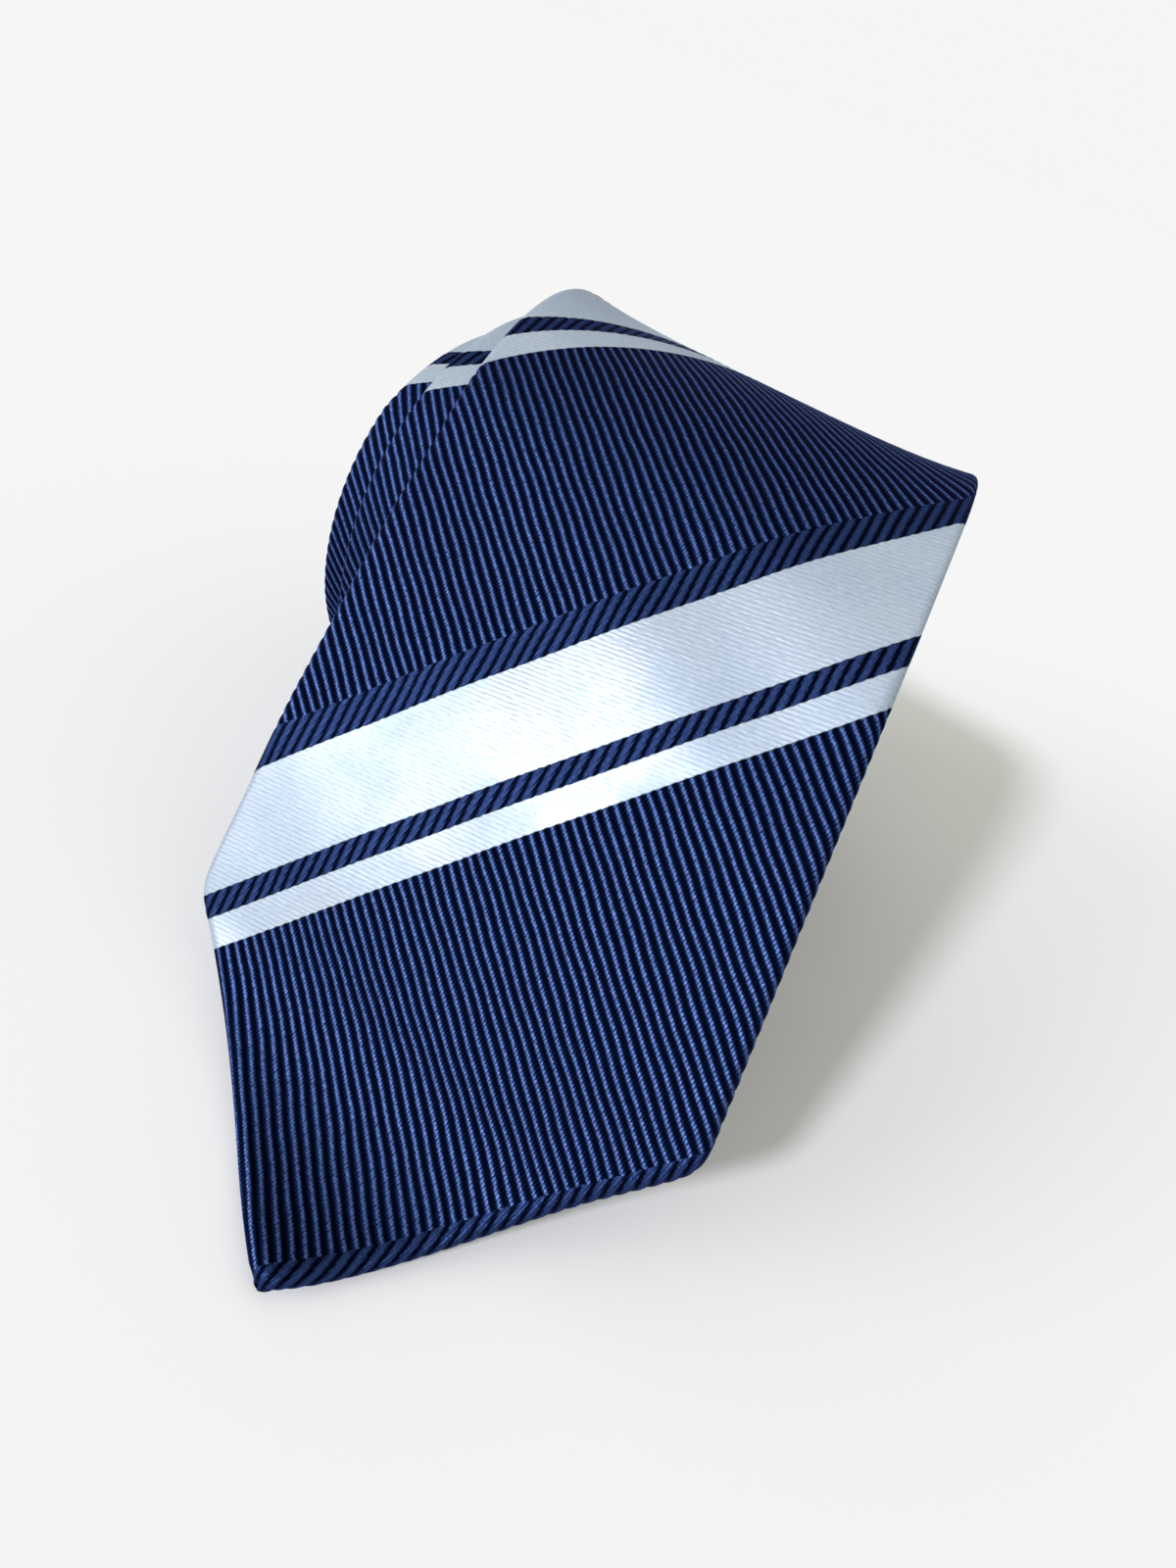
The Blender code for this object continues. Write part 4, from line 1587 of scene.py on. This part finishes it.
@dataclass
class Necktie:
    """The whole tie, piece by piece.

    The wide blade's cloth is cut at v = cut, past the crest, and the two piecing seams lie at front_end and
    neck_end. A piece that bends over the crest keeps its world place and rides on no body.
    """

    lay: Lay
    weave: Weave
    hinge: Sequence[float]
    finishes: dict[Layer, bpy.types.Material] = field(default_factory=dict)
    thread: ThreadSizes = ThreadSizes()
    cut_behind: float = 0.040
    blend_behind: float = 0.001
    blend_ahead: float = 0.022

    def __post_init__(self) -> None:
        """Works out where the lengths of outer cloth end."""
        line, tie = self.lay.line, self.lay.tie
        self.cut = line.crest + self.cut_behind
        self.front_end = line.nearest_facet(tie.front_piece_end)
        self.neck_end = line.nearest_facet(tie.neck_piece_end)

    def dress(self) -> None:
        """Makes the finishes."""
        self.finishes = {
            Layer.FACE: RepSilk(self.weave).material("rep_silk"),
            Layer.CORE: FeltedWool().material("interlining_wool"),
            Layer.LINING: LiningSatin().material("lining_satin"),
            Layer.THREAD: SewingThread().material("sewing_thread"),
            Layer.LABEL: LabelWeave(self.lay.tie.label_half_width / CM).material("label_weave"),
        }

    def settle(self, piece: bpy.types.Object, layer: Layer, body: str | None, node: str) -> None:
        """Gives a piece its finish, its body and the CAD node that it stands for.

        Args:
            piece: The new piece.
            layer: Which finish it takes.
            body: The body it rides on, or None for a piece that bends over the crest.
            node: The CAD node it replaces.
        """
        piece.data.materials.append(self.finishes[layer])
        if body is None:
            _, y, z = self.hinge
            start, end = (0, y + self.blend_behind, z), (0, y - self.blend_ahead, z)
            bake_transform(piece)
            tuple(start)
            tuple(end)
        else:
            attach(piece, body)
        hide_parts(node)
        LOG.info("%s: %d faces", piece.name, len(piece.data.polygons))

    def outer_cloth(self) -> None:
        """The four lengths of outer cloth, the wide blade's in two because it bends over the crest."""
        end = self.lay.line.end
        fine = Grain(rows=0.00018, plain=0.0024, twill=0.00040, back_columns=8)
        middling = Grain(rows=0.00033, plain=0.0030, twill=0.00058, back_columns=5)
        coarse = Grain(rows=0.00034, plain=0.0045, twill=0.0045, back_columns=3)
        blade_core, roll_core = "interlining_blade_core", "interlining_roll_core"
        lengths = [
            ("front_blade", 0.0, self.cut, fine, None, blade_core),
            ("front_blade_rolled", self.cut, self.front_end, middling, "roll", roll_core),
            ("neck_piece", self.front_end, self.neck_end, coarse, "roll", roll_core),
            ("tail_blade", self.neck_end, end, coarse, "roll", roll_core),
        ]
        for node, low, high, grain, body, core in lengths:
            cloth = FoldedCloth(self.lay, self.weave, grain, low, high)
            piece = cloth.build(f"{node}_cloth")
            self.settle(piece, Layer.FACE, body, node)
            width, length, area = cloth.flat_size()
            LOG.info("%s: flat %.3f x %.3f m, %.5f square metres", node, width, length, area)

    def inner_layers(self) -> None:
        """The interlining, in two lengths that meet where the outer cloth does, and both linings."""
        tie, end = self.lay.tie, self.lay.line.end
        blunt = 3 * tie.inner_inset
        lined = tie.blade_opening + tie.tipping_overlap
        tail_lined = end - tie.tail_opening - tie.tipping_overlap
        core_top = -(tie.cloth + tie.gap)
        lining_top = core_top - tie.interlining - tie.gap
        wool = (Layer.CORE, Band(self.lay, 10, 0.0025), core_top, tie.interlining, 400)
        satin = (Layer.LINING, Band(self.lay, 14, 0.0015), lining_top, tie.tipping, 200)
        strips = [
            ("interlining_blade_core", blunt, self.cut, None, "interlining_blade", wool),
            ("interlining_roll_core", self.cut, end - blunt, "roll", "interlining_roll", wool),
            ("front_tipping_panel", blunt, lined, "blade", "front_tipping", satin),
            ("tail_tipping_panel", tail_lined, end - blunt, "roll", "tail_tipping", satin),
        ]
        edges = self.lay.inner_edges
        for name, low, high, body, node, (layer, band, top, thickness, samples) in strips:
            piece = band.build(name, low, high, edges, lambda v: np.full(v.shape, top), thickness)
            self.settle(piece, layer, body, node)
            left, right = edges(np.linspace(low, high, samples))

    def slip_stitches(self) -> None:
        """The long thread between the flaps, crossing the slit from one fold to the other and back."""
        tie, thread = self.lay.tie, self.thread
        low = tie.blade_opening + tie.tack_offset
        high = self.lay.line.end - tie.tail_opening - tie.tack_offset
        for node, start, end, body in (
            ("slip_stitch_blade", low, self.cut, None),
            ("slip_stitch_roll", self.cut, high, "roll"),
        ):
            v = np.arange(start, end, thread.slip_pitch / 8)
            phase = np.mod(v / thread.slip_pitch, 1.0)
            zigzag = np.clip(np.abs(phase * 4 - 2) - 1, -0.8, 0.8)
            n = tie.cloth * 0.55 - self.lay.depth(v)
            path = np.stack([self.lay.seam(v) + thread.slip_swing * zigzag, v, n], 1)
            piece = tube(f"{node}_thread", self.lay, path, thread.slip_radius, 5)
            self.settle(piece, Layer.THREAD, body, node)

    def bar_tacks(self) -> None:
        """The two dense bars of stitches at the ends of the back seam."""
        tie, thread = self.lay.tie, self.thread
        tail = self.lay.line.end - tie.tail_opening - tie.tack_offset
        turn = np.linspace(0.0, 2 * math.pi * thread.tack_stitches, 40 * thread.tack_stitches)
        across = thread.tack_width * (turn / turn[-1] - 0.5)
        for node, middle, body in (
            ("front_bar_tack", tie.blade_opening + tie.tack_offset, "blade"),
            ("tail_bar_tack", tail, "roll"),
        ):
            v = middle + thread.tack_swing * np.cos(turn)
            under = self.lay.depth(v) + tie.gap + 0.00018
            path = np.stack([self.lay.seam(middle) + across, v, thread.tack_rise * np.sin(turn) - under], 1)
            piece = tube(f"{node}_stitches", self.lay, path, thread.tack_radius)
            self.settle(piece, Layer.THREAD, body, node)

    def back_trim(self) -> None:
        """The keeper loop and the blank label, laid on the back."""
        tie, line = self.lay.tie, self.lay.line
        band = Band(self.lay, 40, 0.0006)
        for name, corners, half, layer, node in (
            ("keeper_loop_band", (5, 6), tie.keeper_half_width, Layer.FACE, "keeper_loop"),
            ("blank_label_patch", (11, 13), tie.label_half_width, Layer.LABEL, "blank_label"),
        ):
            start, end = (line.facet_place(number) for number in corners)
            piece = band.build(
                name,
                start,
                end,
                lambda v: (self.lay.seam(v) - half, self.lay.seam(v) + half),
                lambda v: -(self.lay.depth(v) + 0.00035),
                tie.tipping,
            )
            self.settle(piece, layer, "roll", node)

    def piecing_seams(self) -> None:
        """The rows of stitches where the lengths of outer cloth are joined, just under the face."""
        thread = self.thread
        for side, v in (("front", self.front_end), ("tail", self.neck_end)):
            half = float(self.lay.half_width(np.array(v))) - thread.join_margin
            across = np.linspace(-half, half, 400)
            rise = thread.join_rise * np.sin(2 * math.pi * (across + half) / thread.join_pitch)
            path = np.stack([self.lay.seam(v) + across, np.full(400, v), rise - thread.join_depth], 1)
            piece = tube(f"{side}_piecing_stitches", self.lay, path, 0.00012)
            self.settle(piece, Layer.THREAD, "roll", f"{side}_piecing_seam")

    def build(self) -> None:
        """Makes every piece."""
        self.dress()
        self.outer_cloth()
        self.inner_layers()
        self.slip_stitches()
        self.bar_tacks()
        self.back_trim()
        self.piecing_seams()


# ---------------------------------------------------------------- studio


@dataclass(frozen=True)
class Studio:
    """Floor, lights and camera: places in metres, angles in degrees, the lens in millimetres."""

    place: tuple[float, float, float] = (0.04905, -0.1115, 0.12044)
    azimuth: float = 21.1
    elevation: float = 37.62
    roll: float = 20.58
    lens: float = 21.325
    key_from: tuple[float, float, float] = (-0.276, -0.757, 0.592)
    key_spread: float = 7.0
    key_strength: float = 1.9
    key_tone: Colour = (0.97, 0.97, 1.10)
    side_from: tuple[float, float, float] = (-0.66, -0.66, 0.36)
    side_spread: float = 34.0
    side_strength: float = 1.0
    side_tone: Colour = (1.0, 1.0, 1.0)
    fill: float = 0.62
    fill_tone: Colour = (1.0, 1.0, 0.92)
    horizon: float = 0.913

    def floor(self) -> None:
        """A wide level floor at the table's height."""
        bpy.ops.mesh.primitive_plane_add(size=60.0, location=(0.0, 0.0, 0.0))
        floor = bpy.context.active_object
        floor.name = "studio_floor"
        floor.data.materials.append(StudioFloor().material("studio_floor"))
        floor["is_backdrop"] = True

    def lights(self) -> None:
        """A key light and a wide side light, both from the front left, and an even pale surround."""
        self._lamp("key_light", self.key_from, self.key_spread, self.key_strength, self.key_tone)
        self._lamp("side_light", self.side_from, self.side_spread, self.side_strength, self.side_tone)

        world = bpy.data.worlds.new("studio")
        world.use_nodes = True
        bpy.context.scene.world = world
        nodes, links = world.node_tree.nodes, world.node_tree.links
        light = nodes["Background"]
        light.inputs["Color"].default_value = (*self.fill_tone, 1.0)
        light.inputs["Strength"].default_value = self.fill
        seen = nodes.new("ShaderNodeBackground")
        seen.inputs["Color"].default_value = (1.0, 1.0, 1.0, 1.0)
        seen.inputs["Strength"].default_value = self.horizon
        path = nodes.new("ShaderNodeLightPath")
        choose = nodes.new("ShaderNodeMixShader")
        links.new(path.outputs["Is Camera Ray"], choose.inputs[0])
        links.new(light.outputs[0], choose.inputs[1])
        links.new(seen.outputs[0], choose.inputs[2])
        links.new(choose.outputs[0], nodes["World Output"].inputs["Surface"])

    @staticmethod
    def _lamp(
        name: str, toward: tuple[float, float, float], spread: float, strength: float, tone: Colour
    ) -> None:
        """Adds a far lamp.

        Args:
            name: The lamp's name.
            toward: Direction to the lamp.
            spread: Its width as seen from the tie, in degrees.
            strength: Its strength.
            tone: Its colour.
        """
        data = bpy.data.lights.new(name, "SUN")
        data.angle = math.radians(spread)
        data.energy = strength
        data.color = tone
        lamp = bpy.data.objects.new(name, data)
        bpy.context.scene.collection.objects.link(lamp)
        direction = Vector(toward).normalized()
        lamp.location = direction
        lamp.rotation_mode = "QUATERNION"
        lamp.rotation_quaternion = direction.to_track_quat("Z", "Y")

    def camera(self) -> None:
        """The camera, close to the tie and turned about its own axis."""
        azimuth, elevation, roll = (math.radians(x) for x in (self.azimuth, self.elevation, self.roll))
        back = Vector((
            math.sin(azimuth) * math.cos(elevation),
            -math.cos(azimuth) * math.cos(elevation),
            math.sin(elevation),
        ))
        level = Vector((0.0, 0.0, 1.0)).cross(back).normalized()
        upright = back.cross(level)
        right = level * math.cos(roll) + upright * math.sin(roll)
        up = upright * math.cos(roll) - level * math.sin(roll)
        turn = Matrix((right, up, back)).transposed()
        data = bpy.data.cameras.new("camera")
        data.sensor_width = 36.0
        data.lens = self.lens
        data.clip_start = 0.005
        data.clip_end = 100.0
        camera = bpy.data.objects.new("camera", data)
        bpy.context.scene.collection.objects.link(camera)
        camera.matrix_world = Matrix.Translation(Vector(self.place)) @ turn.to_4x4()
        bpy.context.scene.camera = camera

    def build(self) -> None:
        """Sets everything up."""
        self.floor()
        self.lights()
        self.camera()
        bpy.context.scene.view_settings.view_transform = "Standard"


def corners(box: tuple[Vector, Vector]) -> list[list[float]]:
    """A box as plain lists."""
    return [list(corner) for corner in box]


def main() -> None:
    """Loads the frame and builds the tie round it."""
    logging.basicConfig(level=logging.INFO, format="%(message)s")
    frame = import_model()
    cad_box = corners(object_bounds())
    hinge = frame["joints"][0]["pos_m"]
    line = FaceLine(TieSizes(), RollSizes())
    lay = Lay(line)
    low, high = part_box("front_bar_tack")
    tack = lay.tie.blade_opening + lay.tie.tack_offset
    line.move_to(hinge, (low[0] + high[0]) / 2, float(lay.seam(tack)))
    LOG.info("moved by %.6f, %.6f", line.shift_x, line.shift_y)

    Studio().build()
    Necktie(lay, Weave(), hinge).build()

    {"cad": cad_box, "visual": corners(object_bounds())}


if __name__ == "__main__":
    main()
